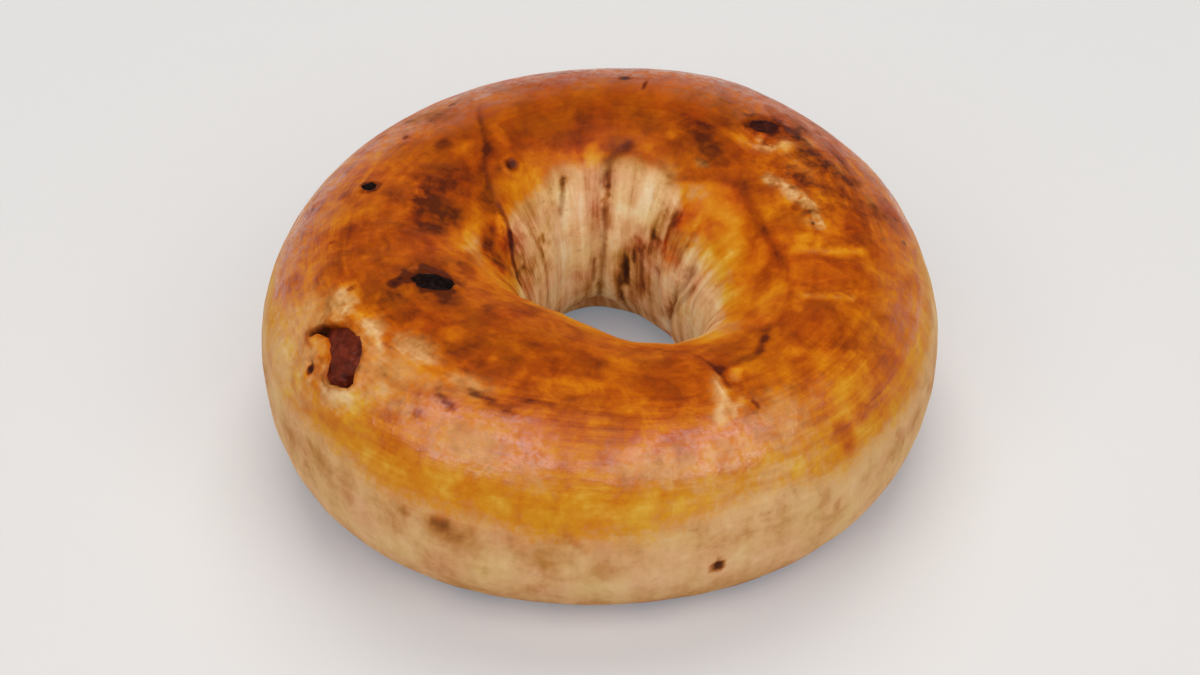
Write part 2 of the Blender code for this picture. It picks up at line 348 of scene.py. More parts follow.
# %% The glaze's shine
# The gel fills the finest relief, so the glaze's own surface is smoother than the dough below it. It
# is thinner in streaks and flecks, and the heat has dulled it where the crust is darkest.
RELIEF_LEFT = 0.28
CLEAR_ROUGHNESS, HAZY_ROUGHNESS = 0.2, 0.46
glaze_bump = add(tree, "ShaderNodeBump", {"Height": heights_mm, "Distance": MM, "Strength": RELIEF_LEFT})
gel = painted["gloss"]
for by, start, end, least, most in (
        (flouriness, 0, 1, 1, 0), (textures["rope"], 0.36, 0.6, 0.28, 1.05),
        (textures["fleck"], 0.38, 0.58, 0.25, 1.05), (browning_and_shade, 0.64, 0.86, 1, 0.25)):
    share = add(tree, "ShaderNodeMapRange", [by, start, end, least, most])
    gel = add(tree, MATH, [gel, share], operation="MULTIPLY")
dullness = add(tree, MATH, [flouriness, 0.2, 0.5], operation="MULTIPLY_ADD")
haze = add(tree, "ShaderNodeMapRange", {0: painted["hazy"], 3: CLEAR_ROUGHNESS, 4: HAZY_ROUGHNESS})
crust_shader = add(tree, "ShaderNodeBsdfPrincipled", {
    "Base Color": burnt_and_shaded.outputs[2], "Roughness": dullness, "Specular IOR Level": 0.07, "Normal": bump,
    "Coat Weight": gel, "Coat Roughness": haze, "Coat IOR": 1.6, "Coat Normal": glaze_bump,
})
add(tree, "ShaderNodeOutputMaterial", {"Surface": crust_shader})
print("crust material has", len(tree.nodes), "nodes")

# %% [markdown]
# ## The raisins' material
# A raisin is a sun-dried grape: thin dark red-brown skin over sticky flesh. In the oven those at the
# surface go nearly black. Its colour is lighter on the ridges of its wrinkles and darker in the folds,
# which is painted shade.

# %% Raisin skin
def raisin_material(name, ridge_colour, fold_shade_colour, roughness, gloss):
    """Dried fruit skin with fine creasing, its colour darker in its folds as painted shade."""
    material, tree = new_material(name)
    place = add(tree, "ShaderNodeTexCoord").outputs["Object"]
    folds = add(tree, "ShaderNodeTexNoise", {"Vector": place, "Scale": 1 / (1.6 * MM), "Detail": 5})
    skin = add(tree, "ShaderNodeValToRGB", [folds], stops=[(0.35, fold_shade_colour), (0.65, ridge_colour)])
    height = add(tree, MATH, [folds, 0.45], operation="MULTIPLY")
    bump = add(tree, "ShaderNodeBump", {"Height": height, "Distance": MM, "Strength": 1})
    shader = add(tree, "ShaderNodeBsdfPrincipled",
                 {"Base Color": skin, "Roughness": roughness, "Specular IOR Level": 0.06,
                  "Coat Weight": gloss, "Coat Roughness": 0.3, "Normal": bump})
    add(tree, "ShaderNodeOutputMaterial", {"Surface": shader})
    return material


plump_skin = raisin_material("sun_dried_raisin_skin", "#7C2E18", "#4A160A", roughness=0.5, gloss=0.05)
browned_skin = raisin_material("browned_raisin_skin", "#4A1C12", "#240A07", roughness=0.7, gloss=0)
scorched_skin = raisin_material("scorched_raisin_skin", "#1A0906", "#060202", roughness=0.6, gloss=0)
print("raisin materials:", plump_skin.name, browned_skin.name, scorched_skin.name)

# %% [markdown]
# ## The uneven ring
# The rope was rolled and joined by hand, so the ring is a little oval, thicker at the back left, and
# its hole isn't round. Each size of the ring is a mean and a few waves round it, called lobes. The
# section is a superellipse, squarer below than above, and the dough sagged flat onto its tray. All of
# that is a rule, so Geometry Nodes can make it: one circle swept along another gives a clean grid,
# and Set Position moves each point to where the rule puts it. The ring angle turns from +X (right)
# to +Y (back), and the tube angle from the outer side (0) over the crest (90) to the hole (180).

# %% The sizes of the ring
OUTER_RADIUS = (54.9 * MM, [(2, 0.95 * MM, 25), (3, 0.4 * MM, -9), (4, 0.45 * MM, 45)])
HOLE_RADIUS = (13.8 * MM, [(1, 2.4 * MM, -8), (2, 1.25 * MM, -57), (3, 1.55 * MM, -37)])
HEIGHT = (39.9 * MM, [(1, 1.7 * MM, 167), (2, 1.7 * MM, 54)])
RING_POINTS = 430
TUBE_POINTS = 150
FIRST_RING_ANGLE = -25
CREST_CROWDING = 0.45
print("mean sizes in mm:", [round(size[0] / MM, 1) for size in (OUTER_RADIUS, HOLE_RADIUS, HEIGHT)])


# %% Nodes for a size with lobes
def uneven_size(tree, angle, mean, lobes):
    """Adds up a size's mean and its lobes: (waves round the ring, amount, direction in degrees)."""
    total = mean
    for count, amount, at in lobes:
        turned = add(tree, MATH, [angle, math.radians(at)], operation="SUBTRACT")
        wave = add(tree, MATH, [turned, count], operation="MULTIPLY")
        cosine = add(tree, MATH, [wave], operation="COSINE")
        total = add(tree, MATH, [cosine, amount, total], operation="MULTIPLY_ADD")
    return total


def new_tree(name, sizes):
    """A Geometry Nodes tree with a geometry output and a named input for each size."""
    tree = bpy.data.node_groups.new(name, "GeometryNodeTree")
    tree.is_modifier = True
    tree.interface.new_socket("Geometry", in_out="OUTPUT", socket_type="NodeSocketGeometry")
    for size, (kind, value) in sizes.items():
        socket = tree.interface.new_socket(size, in_out="INPUT", socket_type="NodeSocket" + kind)
        if kind != "Material":
            socket.default_value = value
    return tree


print("lobes of the outer radius:", len(OUTER_RADIUS[1]))


# %% Build the tree of the ring
tree = ring_tree = new_tree("uneven ring", {
    "Outer radius": ("Float", OUTER_RADIUS[0]),
    "Hole radius": ("Float", HOLE_RADIUS[0]),
    "Height": ("Float", HEIGHT[0]),
    "Roundness above": ("Float", 2.05),
    "Roundness below": ("Float", 2.5),
    "Foot sink": ("Float", 1.5 * MM),
    "Foot edge": ("Float", 0.8 * MM),
    "Points round the ring": ("Int", RING_POINTS),
    "Points round the tube": ("Int", TUBE_POINTS),
    "Crust": ("Material", None),
})
sizes = add(tree, "NodeGroupInput").outputs
factor = add(tree, "GeometryNodeSplineParameter").outputs["Factor"]
ring_degrees = add(tree, MATH, [factor, 360, FIRST_RING_ANGLE], operation="MULTIPLY_ADD")
turn = add(tree, MATH, [factor, math.tau], operation="MULTIPLY")
crowd = add(tree, MATH, [turn], operation="SINE")
crowd = add(tree, MATH, [crowd, CREST_CROWDING / math.tau, factor], operation="MULTIPLY_ADD")
tube_degrees = add(tree, MATH, [crowd, 360, -90], operation="MULTIPLY_ADD")
circles = []
for name, points, degrees in (("ring", "Points round the ring", ring_degrees),
                              ("tube", "Points round the tube", tube_degrees)):
    circle = add(tree, "GeometryNodeCurvePrimitiveCircle", {"Resolution": sizes[points], "Radius": 1.0})
    circles.append(add(tree, "GeometryNodeStoreNamedAttribute",
                       {"Geometry": circle, "Name": name, "Value": degrees}, data_type="FLOAT"))
swept = add(tree, "GeometryNodeCurveToMesh", {"Curve": circles[0], "Profile Curve": circles[1]})
swept = add(tree, "GeometryNodeFlipFaces", {"Mesh": swept})
print("inputs of the ring:", [item.name for item in tree.interface.items_tree][1:])

# %% The rule for each point of it
angles = []
for name in ("ring", "tube"):
    degrees = add(tree, "GeometryNodeInputNamedAttribute", {"Name": name}, data_type="FLOAT")
    angles.append(add(tree, MATH, [degrees], operation="RADIANS"))
ring_angle, tube_angle = angles
lobed_sizes = (("Outer radius", OUTER_RADIUS[1]), ("Hole radius", HOLE_RADIUS[1]), ("Height", HEIGHT[1]))
outer, hole, height = (uneven_size(tree, ring_angle, sizes[name], lobes) for name, lobes in lobed_sizes)
across = add(tree, MATH, [tube_angle], operation="COSINE")
up = add(tree, MATH, [tube_angle], operation="SINE")
below = add(tree, MATH, [up, 0], operation="LESS_THAN")
squarer = add(tree, MATH, [sizes["Roundness below"], sizes["Roundness above"]], operation="SUBTRACT")
power = add(tree, MATH, [below, squarer, sizes["Roundness above"]], operation="MULTIPLY_ADD")
spread = []
for part in (across, up):
    size = add(tree, MATH, [part], operation="ABSOLUTE")
    spread.append(add(tree, MATH, [size, power], operation="POWER"))
spread = add(tree, MATH, [spread[0], spread[1]], operation="ADD")
root = add(tree, MATH, [-1.0, power], operation="DIVIDE")
reach = add(tree, MATH, [spread, root], operation="POWER")
print("nodes for the sizes and the section:", len(tree.nodes))

# %% From the rule to a place
middle_radius = add(tree, MATH, [outer, hole], operation="ADD")
half_width = add(tree, MATH, [outer, hole], operation="SUBTRACT")
sideways = add(tree, MATH, [across, reach], operation="MULTIPLY")
radius = add(tree, MATH, [half_width, sideways, middle_radius], operation="MULTIPLY_ADD")
radius = add(tree, MATH, [radius, 0.5], operation="MULTIPLY")
middle = add(tree, MATH, [height, 0.5], operation="MULTIPLY")
half_height = add(tree, MATH, [below, sizes["Foot sink"], middle], operation="MULTIPLY_ADD")
upward = add(tree, MATH, [up, reach], operation="MULTIPLY")
z = add(tree, MATH, [half_height, upward, middle], operation="MULTIPLY_ADD")
print("nodes with the place:", len(tree.nodes))

# %% Press the foot flat
# Below the foot's edge the height z becomes (z + edge)² / (4 edge), which meets the tray smoothly, and
# above it z stays as it is.
edge = sizes["Foot edge"]
minus_edge = add(tree, MATH, [edge, -1], operation="MULTIPLY")
kept = add(tree, MATH, [z, minus_edge], operation="MAXIMUM")
kept = add(tree, MATH, [kept, edge], operation="ADD")
squared = add(tree, MATH, [kept, kept], operation="MULTIPLY")
four_edges = add(tree, MATH, [edge, 4], operation="MULTIPLY")
pressed = add(tree, MATH, [squared, four_edges], operation="DIVIDE")
clear = add(tree, MATH, [z, edge], operation="GREATER_THAN")
z = add(tree, "GeometryNodeSwitch", {"Switch": clear, "False": pressed, "True": z}, input_type="FLOAT")
print("nodes with the foot:", len(tree.nodes))

# %% Put the points there
sides = [add(tree, MATH, [ring_angle], operation=wave) for wave in ("COSINE", "SINE")]
x, y = (add(tree, MATH, [radius, side], operation="MULTIPLY") for side in sides)
position = add(tree, "ShaderNodeCombineXYZ", {"X": x, "Y": y, "Z": z})
shaped = add(tree, "GeometryNodeSetPosition", {"Geometry": swept, "Position": position})
whole = add(tree, "GeometryNodeRealizeInstances", {"Geometry": shaped})
dressed = add(tree, "GeometryNodeSetMaterial", {"Geometry": whole, "Material": sizes["Crust"]})
add(tree, "NodeGroupOutput", {"Geometry": dressed})
print("ring tree has", len(tree.nodes), "nodes")


# %% Run the tree and keep a plain mesh
def made_by(tree, name, values):
    """A new object whose mesh is what the tree makes with these values for its named inputs."""
    maker = new_object(name + "_maker", bpy.data.meshes.new(name + "_maker"))
    modifier = maker.modifiers.new(tree.name, "NODES")
    modifier.node_group = tree
    for item in tree.interface.items_tree:
        if item.in_out == "INPUT" and item.name in values:
            modifier[item.identifier] = values[item.name]
    evaluated = maker.evaluated_get(bpy.context.evaluated_depsgraph_get())
    mesh = bpy.data.meshes.new_from_object(evaluated)
    mesh.name = name
    bpy.data.objects.remove(maker)
    return new_object(name, mesh)


def read(mesh, name):
    """A point attribute of a mesh as an array."""
    data = mesh.attributes[name].data
    width = 3 if mesh.attributes[name].data_type == "FLOAT_VECTOR" else 1
    values = np.zeros(len(data) * width)
    data.foreach_get("vector" if width == 3 else "value", values)
    return values.reshape(-1, 3) if width == 3 else values


bagel = made_by(ring_tree, "crusted_bagel", {"Crust": crust})
grid = read(bagel.data, "position").reshape(RING_POINTS, TUBE_POINTS, 3)
grid_tubes = read(bagel.data, "tube").reshape(RING_POINTS, TUBE_POINTS)[0]
print("ring:", len(bagel.data.vertices), "points,", len(bagel.data.polygons), "faces")

# %% [markdown]
# ## Places on the crust
# Every feature is placed by its two angles. The grid of points that the tree made tells where that
# is in space, so the rule of the ring isn't written twice.

# %% From two angles to a point and its axes
STEP = 1.5  # degrees to either side


def on_ring(place):
    """The point on the smooth ring at (ring, tube) in degrees, read between the points of the grid."""
    ring, tube = place
    i = (ring - FIRST_RING_ANGLE) % 360 / 360 * RING_POINTS
    j = np.interp((tube + 90) % 360 - 90, grid_tubes, np.arange(TUBE_POINTS))
    i0, j0 = int(i), min(int(j), TUBE_POINTS - 2)
    i1 = (i0 + 1) % RING_POINTS
    near, far = (grid[i, j0] * (1 - (j - j0)) + grid[i, j0 + 1] * (j - j0) for i in (i0 % RING_POINTS, i1))
    return near * (1 - (i - i0)) + far * (i - i0)


def axes_at(place):
    """The point at a place, and three unit axes there: along the ring, up the tube and outwards."""
    ring, tube = place
    up_tube = on_ring((ring, tube + STEP)) - on_ring((ring, tube - STEP))
    along = on_ring((ring + STEP, tube)) - on_ring((ring - STEP, tube))
    out = np.cross(along, up_tube)
    out /= np.linalg.norm(out)
    level = np.array([-math.sin(math.radians(ring)), math.cos(math.radians(ring)), 0])
    along = level - out * (level @ out)
    along /= np.linalg.norm(along)
    return on_ring(place), along, np.cross(out, along), out


print("crest at the front, in mm:", (on_ring((270, 90)) / MM).round(1))

# %% [markdown]
# ## Finer faces where the detail is
# The grid's faces are about 0.8 mm wide. Round the raisins and the torn places that is too coarse, so
# those faces are split in four once or twice, and the rest stays as it is.

# %% Where the raisins are, and the scar in the crust
RAISINS = {
    "raisin_torn_pocket": {"size": (12.0 * MM, 11.8 * MM, 5.0 * MM), "place": (214.2, 48.5),
                           "turn": 40, "tip": -12, "sink": 1.95 * MM, "skin": plump_skin},
    "raisin_crest": {"size": (8.6 * MM, 5.4 * MM, 3.4 * MM), "place": (211.8, 99.5),
                     "turn": 52, "tip": 0, "sink": 0.95 * MM, "skin": scorched_skin},
    "raisin_back": {"size": (6.8 * MM, 4.2 * MM, 2.8 * MM), "place": (43.5, 81.0),
                    "turn": 48, "tip": 0, "sink": 1.05 * MM, "skin": browned_skin},
    "raisin_small": {"size": (3.6 * MM, 3.2 * MM, 2.4 * MM), "place": (164.2, 73.5),
                     "turn": 60, "tip": 0, "sink": 0.65 * MM, "skin": scorched_skin},
}
SCAR_PATH = [(29, 103), (24, 99.5), (20, 96.5), (16.5, 94), (13, 91.5), (10, 90.5), (5, 89.8), (1.5, 91)]


def split_near(mesh, places):
    """Splits in four each face within a reach of any of the places."""
    work = bmesh.new()
    work.from_mesh(mesh)
    centres = np.array([face.calc_center_median() for face in work.faces])
    chosen = np.zeros(len(centres), bool)
    for place, reach in places:
        chosen |= np.linalg.norm(centres - on_ring(place), axis=1) < reach
    work.faces.ensure_lookup_table()
    edges = {edge for index in np.nonzero(chosen)[0] for edge in work.faces[index].edges}
    bmesh.ops.subdivide_edges(work, edges=list(edges), cuts=1, use_grid_fill=True)
    work.to_mesh(mesh)
    work.free()


for share, others in ((0.95, SCAR_PATH), (0.7, [])):
    split_near(bagel.data, [(raisin["place"], max(raisin["size"]) * share) for raisin in RAISINS.values()]
               + [(corner, 3 * MM) for corner in others])
bagel.data.shade_smooth()
points = read(bagel.data, "position")
normals = np.zeros(len(points) * 3)
bagel.data.vertex_normals.foreach_get("vector", normals)
normals = normals.reshape(-1, 3)
ring = np.degrees(np.arctan2(points[:, 1], points[:, 0])) % 360
tube = read(bagel.data, "tube")
outwards = (normals * (points - [0, 0, 20 * MM])).sum(1)[np.abs(tube) < 5].mean()
triangles = sum(len(face.vertices) - 2 for face in bagel.data.polygons)
print("after splitting:", triangles, "triangles; outward check", round(outwards / MM, 1), "mm")

# %% [markdown]
# ## Relief: tools
# A crease is a path of angles. Each point of the mesh asks how far it is from the path and on which
# side, and a curve of that distance gives the groove and the lap of dough that stands over it. The
# distance from one place does the same for a hollow or a pit, and an oval for a patch of colour or a
# torn place. A little noise keeps the edges of creases and ovals from being regular.

# %% Noise, and two curves of a distance
def noise_at(size, seed):
    """Noise from -1 to 1 at each point, with waves of about this size."""
    return np.array([noise.noise(Vector(point)) for point in points / size + seed * 17.3])


def ramp(value, start, end):
    """0 up to the start, 1 from the end on, and smooth between."""
    part = np.clip((value - start) / (end - start), 0, 1)
    return part * part * (3 - 2 * part)


def bell(value):
    """1 at 0, falling away smoothly on both sides."""
    return np.exp(-(value ** 2))


def radii_from(place, radius):
    """Each point's distance from a place on the crust, in radii given in mm."""
    return np.linalg.norm(points - on_ring(place), axis=1) / MM / radius


wobble_large = noise_at(5 * MM, 1)
wobble = noise_at(1.8 * MM, 2)
wobble_fine = noise_at(0.8 * MM, 3)
print("noise runs from", wobble.min().round(2), "to", wobble.max().round(2))

# %% Distance from a path
PATH_REACH = 14 * MM


def beside_path(path, steps=6):
    """Each point's signed distance from a path, positive on its left, and how far along it is, 0 to 1."""
    at = np.linspace(0, len(path) - 1, steps * (len(path) - 1) + 1)
    corners = np.arange(len(path))
    ring_at, tube_at = (np.interp(at, corners, [corner[i] for corner in path]) for i in (0, 1))
    line = np.array([on_ring(place) for place in zip(ring_at, tube_at)])
    inside = (points > line.min(0) - PATH_REACH) & (points < line.max(0) + PATH_REACH)
    near = np.nonzero(inside.all(1))[0]
    here, upright = points[near], normals[near]
    nearest, side, along = np.full(len(near), PATH_REACH), np.ones(len(near)), np.zeros(len(near))
    for i in range(len(line) - 1):
        leg = line[i + 1] - line[i]
        part = np.clip((here - line[i]) @ leg / (leg @ leg), 0, 1)
        apart = here - (line[i] + part[:, None] * leg)
        distance = np.linalg.norm(apart, axis=1)
        closer = distance < nearest
        left = np.einsum("ij,ij->i", np.cross(upright, leg), apart)
        nearest[closer] = distance[closer]
        side[closer] = np.sign(left[closer])
        along[closer] = (i + part[closer]) / (len(line) - 1)
    beside_all, along_all = np.full(len(points), PATH_REACH), np.zeros(len(points))
    beside_all[near], along_all[near] = nearest * side, along
    return beside_all, along_all


def faded(along, end=0.2):
    """1 in the middle of a path and 0 at its ends."""
    return np.clip(along / end, 0, 1) * np.clip((1 - along) / end, 0, 1)


def band(path, half_width, wander=0.4, fade=0.1, shift=0):
    """1 along a path and 0 beside it. In mm: half its width, how far the noise moves it, and how far
    to the left of the path it lies. It fades out over a share of the path at each end."""
    beside, along = beside_path(path)
    return bell((beside / MM + wander * wobble - shift) / half_width) * faded(along, fade)


print("a path reaches", round(PATH_REACH / MM), "mm")


# %% Ovals on the crust
def oval(place, half_along, half_across, turn=0, ragged=0.25, core=0.55):
    """1 in an oval on the crust and 0 outside it. The turn is from along the ring to up the tube."""
    middle, along, up_tube, out = axes_at(place)
    away = points - middle
    c, s = math.cos(math.radians(turn)), math.sin(math.radians(turn))
    u = away @ (c * along + s * up_tube) / half_along
    v = away @ (c * up_tube - s * along) / half_across
    w = away @ out / max(half_along, half_across)
    reach = np.sqrt(u * u + v * v + w * w) + ragged * (0.6 * wobble + 0.4 * wobble_fine)
    return 1 - ramp(reach, core, 1.15)


def ovals(patches, **edge):
    """The amount and the oval of each patch: its ring and tube angles, its half sizes along the ring
    and up the tube in mm, the amount, and a turn in degrees where it has one."""
    for ring_at, tube_at, half_along, half_across, amount, *turn in patches:
        yield amount, oval((ring_at, tube_at), half_along * MM, half_across * MM, *turn, **edge)


print("points in an oval of 5 mm:", int((oval((270, 90), 5 * MM, 5 * MM) > 0.5).sum()))

# %% [markdown]
# ## Relief: creases, laps and pleats
# The creases are where the rope of dough laps over itself. The wall of the hole was squeezed as the
# ring closed, so it is pleated from top to bottom.

# %% The laps and creases
LAP_BACK_LEFT = [(121, 76), (123.5, 82), (127.5, 95), (131, 104.5), (135, 107), (139.5, 114), (144, 120.5),
                 (150, 127.5), (160, 131.5), (172, 136), (187, 139.5), (196, 137)]
LAP_STEM = [(137, 108), (144, 118), (152, 124), (164, 130), (178, 134), (196, 135)]
CREASE_BACK_TOP = [(76.5, 120), (78.2, 122.5), (80.5, 125.5), (83.8, 128), (86, 132.5), (86.5, 140),
                   (86.2, 148.5)]
CREASE_BACK_WALL = [(86.6, 152), (87, 157.5), (87.2, 176), (89, 200), (90, 225)]
CREASE_RIGHT_WALL = [(12, 150), (17, 167), (26, 186), (35, 200), (40, 222)]
LAP_FRONT_RIGHT = [(288, 114), (292.5, 111.5), (296.5, 108.5), (299.4, 102), (300.3, 94), (300.3, 86),
                   (299.9, 75.5), (302, 66)]
CREASES = [  # path, depth, half width, how far the left side stands over, and over what distance, in mm
    (LAP_BACK_LEFT, 0.4, 0.9, 0.45, 6),
    (CREASE_BACK_TOP[2:-1] + CREASE_BACK_WALL, 0.9, 1.2, 0.15, 5),
    (CREASE_RIGHT_WALL, 1.1, 1.3, 0.5, 6),
    (LAP_FRONT_RIGHT, 0.45, 0.9, -0.55, 7),
]
relief = np.zeros(len(points))
for path, depth, half_width, over, spread in CREASES:
    beside, along = beside_path(path)
    beside = (beside + 0.3 * MM * wobble) / MM
    groove = -depth * bell(beside / half_width)
    lap = over * np.tanh(beside / half_width) * bell(beside / spread)
    relief += (groove + lap) * MM * faded(along)
print("creases:", len(CREASES))

# %% Lumps, pleats and raised edges
# Lumps and pleats are waves round the ring and the tube: how many, how high, and shifted by how much.
LUMPS = [(5, 1, 0.16 * MM, 40), (7, 2, 0.14 * MM, 130), (3, -2, 0.16 * MM, 250), (9, 3, 0.10 * MM, 15)]
PLEATS = [(11, 0.22 * MM, 20), (17, 0.18 * MM, 75), (24, 0.12 * MM, 160)]
PLEAT_CENTRE, PLEAT_REACH = 172, 34
FILM_EDGE = [(207.2, 32), (209.2, 28.5), (211.3, 25.5), (214.2, 25.5), (218, 27.5), (223.5, 29.5),
             (228.5, 33), (233.5, 35.5), (238.5, 35.5)]
CRATER_LIP = [(46, 95), (42, 97), (38.5, 95.5), (35.5, 90), (34.5, 84), (36, 78)]
RAISED = [(FILM_EDGE, 0.4, 1.4), (SCAR_PATH, 0.5, 1.5), (CRATER_LIP, 0.45, 1.3)]  # path, height, half width

upper_half = (1 + np.sin(np.radians(tube))) / 2
for waves_ring, waves_tube, amount, shift in LUMPS:
    relief += amount * upper_half * np.cos(np.radians(waves_ring * ring + waves_tube * tube + shift))
in_hole = bell((tube - PLEAT_CENTRE) / PLEAT_REACH)
for count, amount, shift in PLEATS:
    relief += in_hole * amount * np.cos(np.radians(count * ring + shift))
for path, height, half_width in RAISED:
    relief += height * MM * band(path, half_width, wander=0, fade=0.2)
relief += 0.14 * MM * wobble_large + (0.03 + 0.08 * in_hole) * MM * wobble
print("relief so far, mm:", (relief.min() / MM).round(2), (relief.max() / MM).round(2))

# %% [markdown]
# ## Relief: hollows, pits and the beds of the raisins
# A raisin swells in the oven and then shrinks, so it lies in a dent, and the crust laps over its edge
# here and there, which gives it a ragged outline. The largest one lies under a film of dough that
# tore open in the shape of an arch, with a tongue of film left in the middle.

# %% Hollows and pits
# Each has a place, a radius and a depth in mm. A pit is a narrow bowl with a low rim round it.
BOWL, RIM, RIM_WIDTH, RIM_HEIGHT = 0.7, 1.4, 0.5, 0.3  # in the pit's own radius and depth
HOLLOWS = [((42, 89), 4.0, 0.8), ((214, 99), 5.0, 0.4), ((217, 55), 6.0, 0.5), ((5.2, 88), 3.0, 0.5),
           ((247, 66), 4.0, 0.25), ((228, 62), 4.0, 0.3)]
PITS = [((128.3, 118.3), 0.9, 0.8), ((5.3, 91), 0.9, 0.35), ((212, 36.6), 1.25, 0.4), ((211, 39), 0.7, 0.5),
        ((290, -14.5), 1.1, 0.6), ((234.7, 46), 0.9, 0.25), ((240.4, 55), 0.9, 0.25)]
for place_at, radius_at, depth in HOLLOWS:
    relief -= depth * MM * bell(radii_from(place_at, radius_at))
for place_at, radius_at, depth in PITS:
    away = radii_from(place_at, radius_at)
    relief -= depth * MM * bell(away / BOWL)
    relief += RIM_HEIGHT * depth * MM * bell((away - RIM) / RIM_WIDTH)
print("hollows:", len(HOLLOWS), "pits:", len(PITS))


# %% Beds for the raisins
SAME_SIDE = 8 * MM  # what lies deeper or higher than this is another part of the ring
FAR_AWAY = 9
BED_DEPTH = 0.5  # in the raisin's own thickness
LIP_HEIGHT = 0.2 * MM


def raisin_matrix(raisin):
    """Where a raisin lies: its own Z out of the crust and its own X along the ring, then turned."""
    middle, along, up_tube, out = axes_at(raisin["place"])
    axes = Matrix((along, up_tube, out)).transposed().to_4x4()
    spin = Matrix.Rotation(math.radians(raisin["turn"]), 4, "Z")
    tilt = Matrix.Rotation(math.radians(raisin["tip"]), 4, "Y")
    return Matrix.Translation(Vector(middle - out * raisin["sink"])) @ axes @ spin @ tilt


beds = {}
for name, raisin in RAISINS.items():
    to_raisin = np.array(raisin_matrix(raisin).inverted())
    local = points @ to_raisin[:3, :3].T + to_raisin[:3, 3]
    reach = np.hypot(local[:, 0] / raisin["size"][0], local[:, 1] / raisin["size"][1]) * 2
    reach[np.abs(local[:, 2]) > SAME_SIDE] = FAR_AWAY
    beds[name] = reach
    if name != "raisin_torn_pocket":
        ragged_reach = reach + 0.14 * wobble + 0.10 * wobble_fine
        relief -= BED_DEPTH * raisin["size"][2] * (1 - ramp(ragged_reach, 0.3, 0.75))
        relief += LIP_HEIGHT * (1 + wobble) * bell((reach - 0.95) / 0.25)
print("beds:", {name: int((reach < 1).sum()) for name, reach in beds.items()})

# %% The torn opening
OPENING = [
    (205.2, 44.0), (206.5, 48.5), (207.8, 53.0), (209.8, 56.5), (212.2, 59.5), (215.2, 59.5), (217.8, 58.0),
    (219.2, 56.5), (220.3, 53.0), (220.8, 49.0), (221.8, 44.5), (221.2, 41.5), (220.0, 40.0), (217.2, 37.5),
    (215.8, 39.5), (215.2, 42.5), (214.8, 46.0), (212.4, 49.2), (210.2, 50.0), (208.0, 48.2), (206.6, 43.0),
]


def inside_outline(corners):
    """How far each point is inside a closed outline on the crust, negative outside."""
    middle, along, up_tube, out = axes_at(np.mean(corners, axis=0))
    flat = np.stack([(points - middle) @ along, (points - middle) @ up_tube], -1)
    outline = np.array([[(on_ring(c) - middle) @ along, (on_ring(c) - middle) @ up_tube] for c in corners])
    distance = np.full(len(points), np.inf)
    crossings = np.zeros(len(points), int)
    for a, b in zip(outline, np.roll(outline, -1, 0)):
        part = np.clip((flat - a) @ (b - a) / ((b - a) @ (b - a)), 0, 1)
        distance = np.minimum(distance, np.linalg.norm(flat - a - part[:, None] * (b - a), axis=1))
        spans = (a[1] > flat[:, 1]) != (b[1] > flat[:, 1])
        crossing = a[0] + (flat[:, 1] - a[1]) / (b[1] - a[1] + 1e-12) * (b[0] - a[0])
        crossings += spans & (flat[:, 0] < crossing)
    near = np.abs((points - middle) @ out) < SAME_SIDE
    return np.where(near, np.where(crossings % 2 == 1, distance, -distance), -FAR_AWAY * MM)


FILM_BULGE, OPENING_DEPTH = 0.75 * MM, 2.4 * MM
opened = inside_outline(OPENING) + 0.1 * MM * wobble_fine
relief += FILM_BULGE * (1 - ramp(beds["raisin_torn_pocket"], 0.85, 1.5))
relief -= OPENING_DEPTH * ramp(opened, -0.1 * MM, 0.5 * MM)
print("points in the opening:", int((opened > 0).sum()))

# %% Move the points
# The hole's lower edge is drawn back at the back. Near the foot the relief fades, wholly where it
# stands out and by half where it is sunk, so that the foot stays flat on the board.
NOTCH_PLACE, NOTCH_RADIUS, NOTCH_DEPTH = (93, 226), 6.2, 3.3 * MM
relief -= NOTCH_DEPTH * bell(radii_from(NOTCH_PLACE, NOTCH_RADIUS))
outside = relief > 0
relief[outside] *= ramp(points[outside, 2], 0.2 * MM, 2.5 * MM)
relief[~outside] *= 0.5 + 0.5 * ramp(points[~outside, 2], 0, 2.5 * MM)
shaped_points = points + normals * relief[:, None]
bagel.data.vertices.foreach_set("co", shaped_points.ravel())
bagel.data.update()
print("relief, mm:", (relief.min() / MM).round(2), (relief.max() / MM).round(2))

# %% [markdown]
# ## The colours of baking
# The crest was nearest the oven's heat and is deep orange to chestnut. Down the outer side the colour
# runs through golden yellow to pale dough near the tray, and the wall of the hole stayed pale and
# floury. Those broad zones are curves over the tube angle. On top of them lie ovals, placed where the
# bagel shows a darker, yellower or torn place.

# %% The broad zones
# How brown the crust is at each angle round the tube. Then, for angles round the ring, the two angles
# round the tube between which it is glazed.
BAKE_BY_TUBE = [(-90, 0.46), (-45, 0.44), (-20, 0.35), (0, 0.44), (12, 0.36), (22, 0.34), (29, 0.38),
                (36, 0.50), (45, 0.55), (56, 0.57), (66, 0.60), (78, 0.67), (92, 0.70), (105, 0.69),
                (115, 0.64), (124, 0.52), (135, 0.36), (150, 0.23), (172, 0.22), (200, 0.34),
                (230, 0.46), (270, 0.46)]
GLAZE_EDGES = [(0, 26, 138), (22, 24, 140), (34, 23, 148), (46, 22, 138), (58, 22, 128), (90, 22, 131),
               (128, 22, 136), (145, 22, 136), (165, 23, 142), (182, 24, 156), (210, 20, 156),
               (240, 15, 136), (268, 14, 134), (280, 18, 134), (290, 23, 134), (302, 24, 132),
               (315, 20, 130), (345, 26, 144)]
bake = np.interp(tube, *zip(*BAKE_BY_TUBE))
at_ring, lowest, highest = zip(*GLAZE_EDGES)
